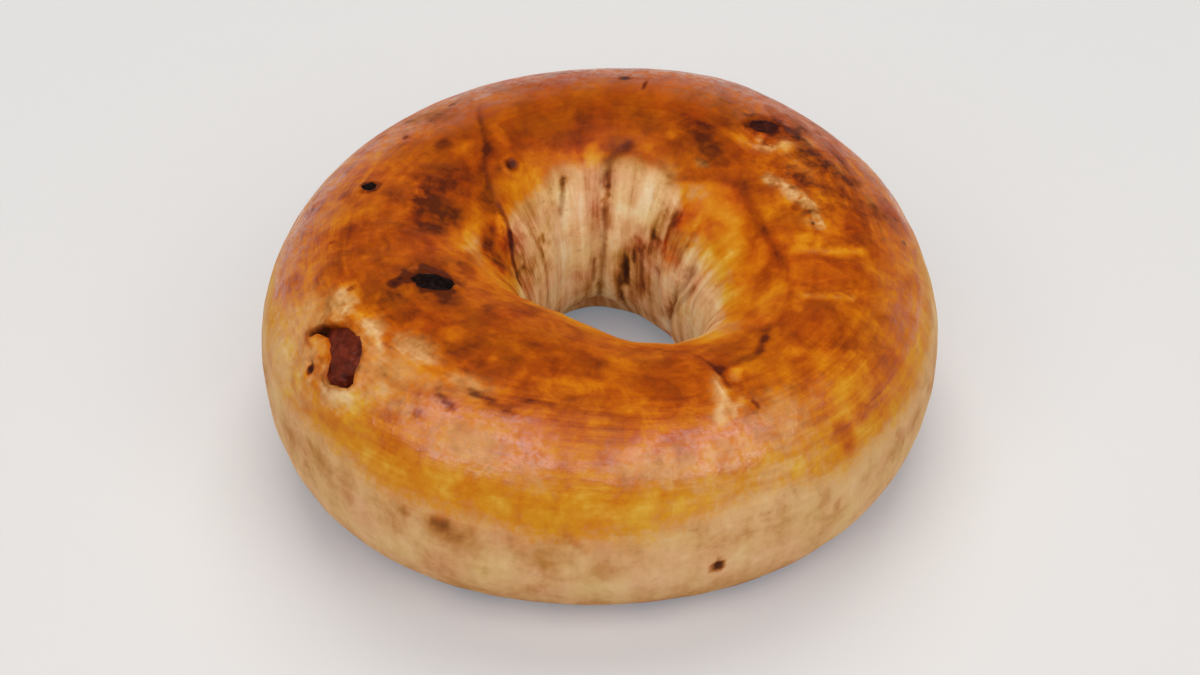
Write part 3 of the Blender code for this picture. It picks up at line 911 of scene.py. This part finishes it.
lowest = np.interp(ring, at_ring, lowest, period=360) + 5 * noise_at(13 * MM, 5)
highest = np.interp(ring, at_ring, highest, period=360) + 6 * noise_at(7 * MM, 6) + 4 * wobble_large
pale = np.maximum(1 - ramp(tube - lowest, -22, 11), ramp(tube - highest, -10, 10))
print("glazed share of the points:", round(float((pale < 0.5).mean()), 2))

# %% Patches that the oven browned more, and painted shade in one fold
# Each patch is listed as ovals() takes it: two angles, two half sizes in mm, an amount and maybe a turn.
BROWN_AND_SHADE_PATCHES = [
    # the outer side
    (246, 4, 4.5, 3.5, 0.1), (266, 6.5, 3, 0.8, 0.13, -50), (269, 347, 4, 3, 0.07),
    # the shoulder
    (0, 71, 5, 3.5, 0.12), (7, 70, 7, 3, 0.16), (8, 62, 5, 3, 0.1), (12, 45, 5, 3, 0.16),
    (18, 72, 5, 3.5, 0.08), (22, 76, 6, 6, 0.12), (25, 52, 14, 4, 0.08), (29, 74, 5, 3, 0.08),
    (33, 66, 9, 4, 0.1), (35, 62, 10, 6, 0.08), (44, 76, 3, 2, 0.04), (46, 69, 3.5, 1.6, 0.16, -20),
    (134, 66, 9, 5, 0.1), (168, 48, 3, 4, 0.14), (186, 77, 6, 4, 0.14), (208, 38, 3, 3, 0.08),
    (216, 79, 4.5, 3.5, 0.2), (240.4, 56, 3.4, 0.6, 0.28, -22), (248, 62, 4.4, 0.7, 0.32, -12),
    (258, 66, 3.4, 0.6, 0.22, -6), (264, 78, 5, 4, 0.06), (290, 75, 3, 2, 0.06), (322, 38, 3, 3, 0.1),
    (326, 62, 4, 3, 0.12), (334, 60, 4, 4, 0.1),
    # the crest
    (20, 88, 5, 2.2, 0.12, -20), (37, 85, 2.5, 2, 0.1), (40, 116, 3, 2.5, 0.1), (43, 104, 3, 2, 0.08),
    (46.5, 111, 4.6, 1.9, 0.17, -15), (48, 122, 4, 2.6, 0.12), (50, 100, 6, 3.5, 0.03),
    (52, 112, 5, 3, 0.12), (55, 97, 4, 2.5, 0.05), (57, 92, 6, 4, 0.05), (57, 104, 6.5, 2, 0.12, -8),
    (63, 118, 3, 2.5, 0.1), (66, 98, 3, 2.5, 0.06), (74, 109, 4, 3, 0.1), (84, 110, 7, 6, 0.07),
    (101, 120, 4, 2.5, 0.16), (107, 106, 8, 6, 0.08), (126, 107, 5, 5, 0.12), (130, 119, 4, 2.5, 0.1),
    (148, 124, 4, 3, 0.12), (152, 99, 7.5, 4, 0.1), (160, 104, 9, 6, 0.06), (160, 110, 9, 5, 0.06),
    (165, 114, 6, 5, 0.1), (166, 92, 4, 4, 0.12), (172, 107, 6, 4.5, 0.1), (180, 98, 7, 6, 0.1),
    (203, 106, 5, 4.5, 0.09), (204, 104, 4, 3, 0.07), (206, 82, 5, 5, 0.1), (207, 119, 3, 2.2, 0.2),
    (221, 100, 2.5, 2.5, 0.15), (228, 88, 8, 6, 0.05), (233, 100, 3, 4, 0.07), (241, 118, 3.5, 4, 0.16),
    (246, 80, 7, 5, 0.08), (262, 92, 8, 2.5, 0.08), (285, 85, 7, 5, 0.05),
    # the wall of the hole
    (14, 134, 4, 2.6, 0.2), (32, 162, 3, 5, 0.1), (35, 150, 3.8, 6.5, 0.28), (45, 146, 2.5, 2, 0.2),
    (48, 168, 3, 4, 0.14), (50, 154, 3.2, 3, 0.22, 30), (56, 163, 3.5, 3, 0.2), (67, 184, 3.2, 7.5, 0.26),
    (72, 205, 3, 5, 0.12), (91, 170, 4, 6, 0.07), (127, 141, 5, 5, 0.12), (140, 150, 7, 8, 0.08),
    # (172, 145) and (186, 142) darken the fold beside the back-left lap: painted shade.
    (140, 165, 2.5, 5, 0.12), (160, 156, 3, 3, 0.04), (166, 138, 3, 3, 0.12), (172, 145, 7, 2.2, 0.2),
    (174, 164, 4, 4, 0.1), (176, 163, 5, 4, 0.16), (179, 129, 3, 2.5, 0.12), (184, 146, 8, 6, 0.24),
    (186, 142, 3, 1.2, 0.22), (196, 128, 4, 2.5, 0.1),
]
for amount, patch in ovals(BROWN_AND_SHADE_PATCHES, ragged=0.42):
    bake += amount * patch
print("browner patches:", len(BROWN_AND_SHADE_PATCHES))

# %% Spots that it browned more, and painted shade on creases
# A spot is small, so its edge is less ragged.
BROWN_AND_SHADE_SPOTS = [
    # the outer side
    (238, 4, 1, 1.2, 0.13), (244, 4.5, 2.3, 1.8, 0.16), (290, -14.5, 1.2, 1.7, 0.6),
    (298, 8.5, 1.2, 1, 0.1), (313, -6, 0.8, 1.6, 0.13), (316.5, 30, 2.2, 3.4, 0.24),
    # the shoulder
    (11, 56.5, 2, 2, 0.24), (20, 64, 2.2, 2, 0.24), (30.5, 78, 1.2, 5, 0.2), (83.5, 78, 1.2, 0.9, 0.35),
    (126, 66.5, 0.7, 0.6, 0.3), (142, 69, 0.7, 0.7, 0.3), (185, 65, 0.6, 0.6, 0.3),
    (203, 69, 0.9, 0.8, 0.35), (212, 36.6, 0.8, 1.2, 0.5), (236, 47.5, 1, 0.8, 0.18),
    # the crest
    (11.7, 96, 1.1, 1, 0.22), (61, 105.5, 1.4, 1.2, 0.08), (78, 84.5, 0.5, 1.4, 0.4),
    # (131, 104.5) darkens the knot of the back-left lap: painted shade.
    (95, 108, 1.5, 4, 0.07), (131, 104.5, 1, 1.3, 0.1), (139.5, 88.5, 1.8, 1.8, 0.2),
    (182, 106, 2, 3.5, 0.16), (206.2, 100, 1.8, 1.2, 0.26), (208.3, 85, 1.4, 1.4, 0.3),
    (242, 81, 0.9, 3.2, 0.09), (250, 80, 1.1, 3, 0.1), (259, 85, 0.9, 1.8, 0.08),
    (301, 88.5, 1.4, 1.1, 0.16), (312.8, 90, 1.2, 0.9, 0.14), (317, 95, 1.1, 0.9, 0.2),
    # the wall of the hole
    (65, 168, 1.8, 1.8, 0.2), (75, 147, 2.4, 2, 0.1), (78, 187, 2.2, 4.5, 0.28),
    # (85.8, 148.8) to (87.2, 151) darken the back crease: painted shade.
    (85.8, 148.8, 0.6, 0.7, 0.34), (86.5, 140, 0.8, 1.8, 0.16), (86.5, 144.5, 0.9, 0.8, 0.3),
    (87.2, 151, 0.6, 0.8, 0.3), (92, 168, 1.2, 8, 0.16), (127.5, 158, 0.7, 0.9, 0.26),
    (132, 153.5, 0.8, 0.9, 0.26), (136, 160, 0.9, 1, 0.18), (161, 156, 1.6, 1, 0.08),
]
for amount, spot in ovals(BROWN_AND_SHADE_SPOTS):
    bake += amount * spot
print("browner spots:", len(BROWN_AND_SHADE_SPOTS))

# %% Patches that stayed lighter, and one of painted haze
LIGHTER_AND_HAZE = [
    # the outer side
    (257, 345, 4, 4, 0.07), (262, 23, 14, 2.6, 0.03), (276, 18, 7, 3, 0.05), (288, 348, 9, 5, 0.06),
    # the shoulder
    # (24, 78) is partly painted haze: the veil of the sky's reflection on the shoulder at the back right.
    (24, 78, 4, 3, 0.08), (204, 67, 3.5, 2.4, 0.2), (226, 36, 8, 2.4, 0.12), (245, 79, 1, 1.6, 0.16),
    (265, 77, 5, 2, 0.13), (318, 48, 6, 6, 0.06), (322, 52, 5, 7, 0.1),
    # the crest
    (0, 82, 6, 4, 0.08), (3, 100, 4, 3, 0.08), (13, 103, 5.5, 3, 0.12, -15), (30, 124, 7, 3, 0.13),
    (64, 112.5, 1.2, 1, 0.15), (124.5, 102, 1.2, 3, 0.18), (164, 96.5, 1.2, 1, 0.3),
    (185, 121, 2.5, 2.5, 0.12), (232, 85, 2, 2, 0.15), (270, 94, 7, 4, 0.07), (307, 88, 4, 3, 0.14),
    (316, 120, 5.5, 5, 0.14), (334, 105, 8, 4.5, 0.22), (358, 94, 2.2, 3, 0.2),
    # the wall of the hole
    (8, 140, 5, 5, 0.1), (16, 128, 6, 2.8, 0.1), (36, 209, 4, 3.4, 0.5), (45, 188, 2.5, 4, 0.12),
    (66, 148, 5, 4.2, 0.06), (93, 128, 1.8, 2.4, 0.25), (105, 151, 2.9, 4.5, 0.12), (130, 128, 4.5, 3, 0.1),
    (178, 127, 4, 2.4, 0.2), (355, 183, 4, 4, 0.2),
]
for amount, patch in ovals(LIGHTER_AND_HAZE):
    bake -= amount * patch
print("lighter patches:", len(LIGHTER_AND_HAZE))

# %% Browner bands, and painted shade along the folds
# A rusty band runs round the top of the hole, where the glaze ends. The others follow the laps and the
# edge of the torn film, and their brown is painted shade in the folds and under the film's edge. Each
# has a path, an amount, and the settings of band(). The edge of the foot is toasted in places.
HOLE_BAND = [(299, 91), (306, 92), (312, 89), (319, 97), (331, 98), (341, 103.5), (350.2, 107.5),
             (356.8, 111), (367.5, 114), (378.2, 114.5), (388, 110), (394.8, 118.5), (406.8, 126.5),
             (414, 132), (435, 126), (443, 122), (451, 126), (462, 128)]
RUST_AND_SHADE_BANDS = [
    (HOLE_BAND, 0.17, {"half_width": 0.9, "wander": 0.5, "fade": 0.06}),
    (LAP_BACK_LEFT, 0.04, {"half_width": 1.0}),
    (FILM_EDGE, 0.12, {"half_width": 1.3, "fade": 0.15, "shift": -1.2}),
    (LAP_STEM, 0.20, {"half_width": 1.2, "fade": 0.15}),
]
for path, amount, settings in RUST_AND_SHADE_BANDS:
    bake += amount * band(path, **settings)
bake += 0.14 * (1 - ramp(tube, -50, -34)) * np.clip(0.5 + wobble, 0, 1)
print("bands:", len(RUST_AND_SHADE_BANDS))

# %% Torn and floury places, and painted sheen
# Where the skin tore, the crust is floury and a little paler. Some pale patches on the shoulder are
# partly painted sheen and painted reflection as well, and one on the crest is a painted glint.
TORN_AND_SHEEN = [
    # the outer side
    (202, 24, 12.65, 10.35, 0.55), (212, 23, 9.2, 5.17, 0.45), (282, 24, 6.9, 3.45, 0.3),
    (291, 29, 9.2, 6.9, 0.4), (302, 30, 9.2, 4.02, 0.5), (309, 29, 5.75, 4.6, 0.35),
    (318, 6, 12.65, 6.9, 0.5),
    # the shoulder
    (5, 57, 3.45, 1.61, 0.4), (14, 58, 4.6, 1.84, 0.5), (24, 66, 4.6, 2.07, 0.5), (33, 70, 5.75, 2.07, 0.5),
    # (134, 66) is partly painted reflection: the sky's veil on the far left edge.
    (40, 64, 6.9, 1.84, 0.4), (134, 66, 11.5, 6.9, 0.55), (202, 44, 10.35, 10.35, 0.55),
    (205, 60, 5.75, 5.17, 0.75), (210.5, 40, 3.91, 5.06, 0.65), (217, 68.5, 3.91, 2.76, 0.7),
    (219, 38, 7.47, 4.6, 0.75), (224, 46, 9.2, 5.75, 0.45), (224, 56, 13.8, 8.05, 0.5),
    (227.5, 49.5, 4.14, 3.22, 0.55), (228, 61, 8.05, 3.91, 0.5), (228, 71, 7.47, 3.45, 0.8),
    # (233, 48), (243, 66), (247, 42), (281, 41), (292, 44) and (306, 50) lie under the front sheen and are
    # partly painted sheen.
    (233, 48, 5.75, 3.45, 0.5), (236, 60, 5.75, 3.45, 0.5), (243, 66, 6.9, 3.45, 0.65),
    (247, 42, 11.5, 5.75, 0.55), (258, 35, 8.05, 4.6, 0.4), (281, 41, 12.65, 5.75, 0.55),
    (292, 44, 5.75, 4.6, 0.5), (294.5, 61, 2.76, 2.99, 0.7), (296.5, 69, 2.53, 6.32, 0.6),
    (299, 45, 8.05, 5.17, 0.4), (306, 50, 11.5, 10.35, 0.5), (316, 58, 4.6, 3.45, 0.25),
    # the crest
    (18, 95, 4.6, 2.3, 0.7), (24, 84, 10.35, 4.6, 0.45), (34, 80, 5.75, 4.6, 0.35),
    # (46.2, 118) is a painted glint.
    (37, 91, 3.45, 2.76, 0.35), (40.3, 88.5, 1.72, 1.49, 0.7), (46.2, 118, 2.53, 1.26, 0.75),
    (55, 84, 9.2, 4.6, 0.3), (69, 90, 5.75, 3.45, 0.25), (316, 120, 5.75, 5.17, 0.35),
    # the wall of the hole
    (41, 130, 4.6, 3.45, 0.35), (179, 129, 3.45, 2.88, 0.4), (192, 128, 8.05, 2.88, 0.4),
]
smooth_share = np.zeros(len(points))
for amount, torn in ovals(TORN_AND_SHEEN, ragged=0.4, core=0.1):
    smooth_share = np.maximum(smooth_share, torn)
    pale = np.maximum(pale, amount * torn)
    bake -= 0.12 * amount * torn
print("torn places:", len(TORN_AND_SHEEN))

# %% The scar and the crack
# Each has a path, half its width in mm and how pale it is. Noise breaks it up into pieces. In three
# places in the hole the glaze stayed whole, which takes the paleness away again.
CRACK_PATH = [(299.5, 86), (297.4, 81), (297.4, 76), (296.6, 71), (295.6, 66), (294.6, 60), (294.5, 54)]
CRACK_FORK = [(297.2, 74), (298.2, 70), (297.8, 64), (297, 58)]
CRACKS = [(SCAR_PATH, 1.6, 0.95), (CRACK_PATH, 1.0, 0.75), (CRACK_FORK, 0.6, 0.7)]
STAYED_GLAZED = [(8, 138, 9, 6.5, 0.75), (37, 155, 4.2, 7, 0.6), (178, 160, 6, 6, 0.3)]
for path, half_width, paleness in CRACKS:
    cracked = band(path, half_width, wander=0.7)
    cracked = cracked * np.clip(0.95 + 0.7 * wobble_fine + 0.4 * wobble, 0, 1)
    pale = np.maximum(pale, paleness * cracked)
    bake -= 0.27 * paleness * cracked
for amount, kept in ovals(STAYED_GLAZED, ragged=0.4, core=0.3):
    pale = pale * (1 - amount * kept)
print("cracks:", len(CRACKS))

# %% Where the fine lines run
# Each line has a path, half its width in mm and a strength. Lines that meet are in different layers. The
# dark lines are painted shade in the creases, laps and pleats.
LINES = {
    "crease_shade_lines": [
        (LAP_BACK_LEFT, 0.35, 0.24), (LAP_FRONT_RIGHT, 0.4, 0.3), (CREASE_BACK_TOP, 0.7, 0.6),
        (CREASE_BACK_WALL, 0.4, 0.6), (CREASE_RIGHT_WALL, 0.8, 0.55),
        ([(107, 134), (109, 140), (111, 147), (113, 152)], 0.4, 0.6),
        ([(45.5, 172), (49, 184), (54, 200)], 0.8, 0.3), ([(60, 195), (60, 180), (61, 168)], 0.4, 0.6),
        ([(72, 196), (73, 178)], 0.4, 0.6), ([(302.4, 66), (303, 60)], 0.3, 0.5),
    ],
    "crease_shade_branches": [
        ([(300, 89), (305, 88.5), (310.2, 90), (313, 90.2), (317, 95)], 0.5, 0.16),
        ([(288, 114), (292.5, 111.5), (296.5, 108.5), (299.3, 103.5), (299.8, 96)], 0.45, 0.45),
        ([(146, 124), (150, 130), (153.5, 136), (163.5, 143), (172, 149), (179, 158), (180, 168)],
         0.4, 0.65), ([(5, 158), (9, 168), (17, 181), (24.5, 190)], 0.5, 0.5),
        ([(67.5, 180), (67.5, 172)], 0.35, 0.6), ([(92.5, 196), (93, 180)], 0.35, 0.5),
        ([(77, 210), (78, 190)], 0.4, 0.5), ([(137, 180), (134, 196)], 0.4, 0.4),
    ],
    "light_lines": [
        ([(300, 76), (301, 70), (299, 62)], 0.6, 0.6),
        ([(305.5, 87.6), (303.5, 83), (301.6, 78)], 0.8, 0.8),
        ([(317.4, 82.5), (321, 74), (326, 63), (329.7, 54.5)], 0.7, 0.4),
        ([(336.7, 97.5), (339.4, 82.5), (342, 69.5)], 0.7, 0.75),
        ([(355, 107), (354.5, 95), (355, 82.5), (358.5, 63)], 0.7, 0.75), (CRATER_LIP, 0.9, 0.9),
        ([(157, 89), (163, 92.5), (169, 94), (179, 92), (187, 84), (190, 76)], 1.0, 0.5),
        ([(188, 126), (192, 119), (196, 112)], 1.0, 0.5),
        # This light line is a painted highlight on the proud edge beside the back crease.
        ([(84.5, 164), (85.5, 180), (86.5, 200)], 0.9, 0.6),
        ([(207, 62), (210, 64.5), (214, 66), (219, 65), (223, 61)], 0.7, 0.7),
    ],
}


def fine_lines(lines):
    """For each point, the signed distance from the nearest line in half widths, and its strength."""
    apart, strength = np.full(len(points), float(FAR_AWAY)), np.zeros(len(points))
    for path, half_width, amount in lines:
        beside, along = beside_path(path)
        widths = beside / MM / half_width
        reach = max(4, 1.8 / half_width)
        closer = (np.abs(widths) < reach) & (np.abs(widths) < np.abs(apart))
        apart[closer] = widths[closer]
        ending = 1 - ramp(np.abs(widths), 0.55 * reach, 0.95 * reach)
        strength[closer] = (amount * faded(along, 0.12) * ending)[closer]
    return np.stack([apart, strength, np.zeros(len(points))], -1)


line_layers = {name: fine_lines(lines) for name, lines in LINES.items()}
print("fine lines:", {name: len(lines) for name, lines in LINES.items()})

# %% Marks: knots in the creases, the bottoms of pits, and painted shade
# Each knot has a place and a radius in mm. The first five lie on creases, and their dark is painted
# shade where the creases are deepest; the others are dark spots in the crust. The dark bottoms of the
# pits are partly the pits' own dark colour and partly painted shade. The first pit is a burst bubble: a
# dark bottom, a brown wall and a light ring round it.
KNOTS_AND_CREASE_SHADE = [((131, 104.5), 0.35), ((300.3, 86), 0.6), ((302, 66), 0.35), ((312, 88.5), 0.35),
         ((107, 135), 0.5), ((208.3, 85), 0.8), ((207.5, 88), 0.6), ((247, 62), 0.5), ((203, 69), 0.5),
         ((78, 84.5), 0.5), ((83.5, 78), 0.7), ((12, 44), 1.2), ((6, 43), 1.0), ((168, 47), 0.9)]
PIT_BOTTOM = 0.6  # in the pit's radius
KNOT_DARKNESS, BUBBLE_DARKNESS = 0.68, 0.6
bubble, *other_pits = PITS
mark = np.zeros(len(points))
for place_at, radius_at in KNOTS_AND_CREASE_SHADE + [(pit[0], PIT_BOTTOM * pit[1]) for pit in other_pits]:
    away = radii_from(place_at, radius_at) + 0.3 * wobble_fine
    mark = np.maximum(mark, KNOT_DARKNESS * (1 - ramp(away, 0.3, 1.3)))
away = radii_from(*bubble[:2])
mark = np.maximum(mark, BUBBLE_DARKNESS * (1 - ramp(away, 0.4, 1.0)))
bake += 0.22 * (1 - ramp(away, 0.8, 1.4)) - 0.18 * bell((away - 1.9) / 0.4)
print("knots:", len(KNOTS_AND_CREASE_SHADE), "points so far:", int((mark > 0.5).sum()))

# %% Marks: the edges of the raisins, and painted shade in the torn opening
for name, reach in beds.items():
    if name != "raisin_torn_pocket":
        ragged_reach = reach + 0.2 * wobble + 0.16 * wobble_fine
        burn = 0.45 if name == "raisin_back" else 0.85
        mark = np.maximum(mark, burn * (1 - ramp(ragged_reach, 0.4, 1.0)))
        bake += 0.26 * (1 - ramp(ragged_reach + 0.5 * wobble, 0.7, 1.4))
# Inside the torn opening the crust is painted dark brown, and a browner line runs just outside its edge:
# painted shade in the pocket under the film and along its torn edge.
opened_mm = opened / MM
bake += 0.45 * ramp(opened_mm, -0.1, 0.3)
bake += 0.14 * bell((opened_mm + 0.25 + 0.2 * wobble) / 0.3)
print("marked points:", int((mark > 0.5).sum()))

# %% How much each noise shows
# The wall of the hole and the foot are drawn down, and the shoulder is drawn out along the rope, less
# so where it tore and where it is smooth at the right. The crest is calm at the back. Each zone holds
# four tube angles: where it begins, where it is full, and where it begins and ceases to fade.
HOLE_WALL, UNDERSIDE = (122, 145, 230, 262), (-80, -40, 0, 22)
SHOULDER, OUTER_HALF = (18, 34, 60, 84), (-10, 20, 112, 132)


def zone(begins, full, fades, ends):
    """1 between two tube angles, and 0 before and after them."""
    return ramp(tube, begins, full) * (1 - ramp(tube, fades, ends))


wall = zone(*HOLE_WALL) + 0.4 * zone(*UNDERSIDE)
rope = (0.35 + 0.65 * zone(*SHOULDER)) * zone(*OUTER_HALF)
smooth_share = np.maximum(smooth_share, oval((355, 52), 24 * MM, 14 * MM))
rope = rope * (1 - 0.6 * smooth_share)
lively = 0.55 + 0.5 * ramp(tube, 0, 24) - 0.12 * ramp(tube, 66, 84)
lively = lively + 0.8 * oval((26, 84), 17 * MM, 8 * MM) - 0.3 * oval((98, 95), 26 * MM, 11 * MM)
print("liveliness runs from", lively.min().round(2), "to", lively.max().round(2))

# %% Where the glaze shines
# It shines on the shoulder. At the far side the glaze reaches higher and is thicker but rougher, so
# the bright sky gives a soft veil there and no sparkle. The torn opening and the beds have none.
DULLER = [
    # the shoulder
    (3, 46, 12, 8, 0.7), (214, 62, 12, 7, 0.7), (235, 37, 5, 4, 0.5), (266, 46, 4.5, 8, 0.5),
    (270, 46, 6, 9, 0.25), (270, 61, 12, 5, 0.8), (325, 50, 6, 9, 0.5), (334, 44, 5, 5, 0.5),
    # the crest
    (150, 90, 14, 8, 0.3),
]
SHINE_STARTS, SHINE_ENDS, HIGHER_AT_BACK = (25, 35), (51, 71), 24
far = ramp(np.sin(np.radians(ring)), 0.3, 0.8)
gloss = 0.12 + 0.88 * ramp(tube, *SHINE_STARTS)
gloss = gloss * (1 - 0.94 * ramp(tube - HIGHER_AT_BACK * far, *SHINE_ENDS))
gloss = gloss * (1 + 2 * far * ramp(tube, 48, 62)) * (1 - far * ramp(tube, 85, 105))
gloss = gloss * (1 - ramp(opened_mm, -1.2, -0.3))
for reach in beds.values():
    gloss = gloss * ramp(reach, 0.95, 1.35)
for amount, patch in ovals(DULLER):
    gloss = gloss * (1 - amount * patch)
print("glossy share of the points:", round(float((gloss > 0.5).mean()), 2))

# %% Store what the material reads
TUBE_RADIUS = 20 * MM
RING_RADIUS = 34 * MM
round_ring, round_tube = np.radians(ring), np.radians(tube)
lay = np.stack([RING_RADIUS * np.cos(round_ring), RING_RADIUS * np.sin(round_ring),
                TUBE_RADIUS * np.cos(round_tube)], -1)
layers = {"bake": bake, "pale": pale, "mark": mark, "wall": wall, "rope": rope, "lively": lively,
          "gloss": gloss, "hazy": far, "lay_turn": TUBE_RADIUS * np.sin(round_tube)}
for name, values in layers.items():
    bagel.data.attributes.new(name, "FLOAT", "POINT").data.foreach_set("value", values)
for name, values in {"lay": lay, **line_layers}.items():
    layer = bagel.data.attributes.new(name, "FLOAT_VECTOR", "POINT")
    layer.data.foreach_set("vector", values.ravel())
print("layers:", sorted(layers))

# %% [markdown]
# ## The raisins
# A grape loses three quarters of its water as it dries, and its skin falls into folds. One tree makes
# them all: a round ball with a few lobes, flattened, and wrinkled by a noise along its normals.
# Each raisin has its own size and seed, and is placed where its bed is.

# %% Build the tree of a raisin
FOLD_DEPTH = 0.35 * MM
RAISIN_LOBES = [(3, 0.05, -7), (5, 0.04, -20), (8, 0.03, -26)]
tree = raisin_tree = new_tree("wrinkled raisin", {
    "Size": ("Vector", (8 * MM, 6 * MM, 4 * MM)),
    "Fold size": ("Float", 1.6 * MM),
    "Fold depth": ("Float", FOLD_DEPTH),
    "Seed": ("Float", 0),
    "Skin": ("Material", None),
})
sizes = add(tree, "NodeGroupInput").outputs
ball = add(tree, "GeometryNodeMeshIcoSphere", {"Radius": 0.5, "Subdivisions": 6})
at = add(tree, "GeometryNodeInputPosition")
sides = add(tree, "ShaderNodeSeparateXYZ", [at]).outputs
around = add(tree, MATH, [sides["Y"], sides["X"]], operation="ARCTAN2")
swell = uneven_size(tree, around, 0.0, RAISIN_LOBES)
high = add(tree, MATH, [sides["Z"]], operation="ABSOLUTE")
flat = add(tree, MATH, [high, -2, 1], operation="MULTIPLY_ADD")
swell = add(tree, MATH, [swell, flat, 1], operation="MULTIPLY_ADD")
lobed = add(tree, "ShaderNodeVectorMath", [at, sizes["Size"]], operation="MULTIPLY")
lobed = add(tree, "ShaderNodeVectorMath", {0: lobed, "Scale": swell}, operation="SCALE")
body = add(tree, "GeometryNodeSetPosition", {"Geometry": ball, "Position": lobed})
fold_scale = add(tree, MATH, [1.0, sizes["Fold size"]], operation="DIVIDE")
folds = add(tree, "ShaderNodeTexNoise",
            {"Vector": at, "W": sizes["Seed"], "Scale": fold_scale, "Detail": 2}, noise_dimensions="4D")
ridge = add(tree, MATH, [folds, 0.5], operation="SUBTRACT")
ridge = add(tree, MATH, [ridge], operation="ABSOLUTE")
ridge = add(tree, MATH, [ridge, 5, -1], operation="MULTIPLY_ADD")
ridge = add(tree, MATH, [ridge, 0], operation="MINIMUM")
push = add(tree, MATH, [ridge, sizes["Fold depth"]], operation="MULTIPLY")
outward = add(tree, "GeometryNodeInputNormal")
offset = add(tree, "ShaderNodeVectorMath", {0: outward, "Scale": push}, operation="SCALE")
folded = add(tree, "GeometryNodeSetPosition", {"Geometry": body, "Offset": offset})
whole = add(tree, "GeometryNodeRealizeInstances", {"Geometry": folded})
dressed = add(tree, "GeometryNodeSetMaterial", {"Geometry": whole, "Material": sizes["Skin"]})
add(tree, "NodeGroupOutput", {"Geometry": dressed})
print("raisin tree has", len(tree.nodes), "nodes")

# %% Make and place them
PLUMP_FOLD_DEPTH = 0.22 * MM
raisins = {}
for seed, (name, raisin) in enumerate(RAISINS.items()):
    piece = made_by(raisin_tree, "wrinkled_" + name, {
        "Size": raisin["size"], "Seed": float(seed * 3), "Skin": raisin["skin"],
        "Fold depth": PLUMP_FOLD_DEPTH if raisin["skin"] == plump_skin else FOLD_DEPTH,
    })
    piece.data.transform(raisin_matrix(raisin))
    piece.data.shade_smooth()
    raisins[name] = piece
    print(name, "has", len(piece.data.polygons), "faces")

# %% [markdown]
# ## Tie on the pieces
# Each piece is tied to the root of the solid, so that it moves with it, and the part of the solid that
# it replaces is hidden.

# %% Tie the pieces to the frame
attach(bagel, "root")
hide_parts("bagel")
for name, piece in raisins.items():
    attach(piece, "root")
    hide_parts(name)
print("pieces:", 1 + len(raisins))
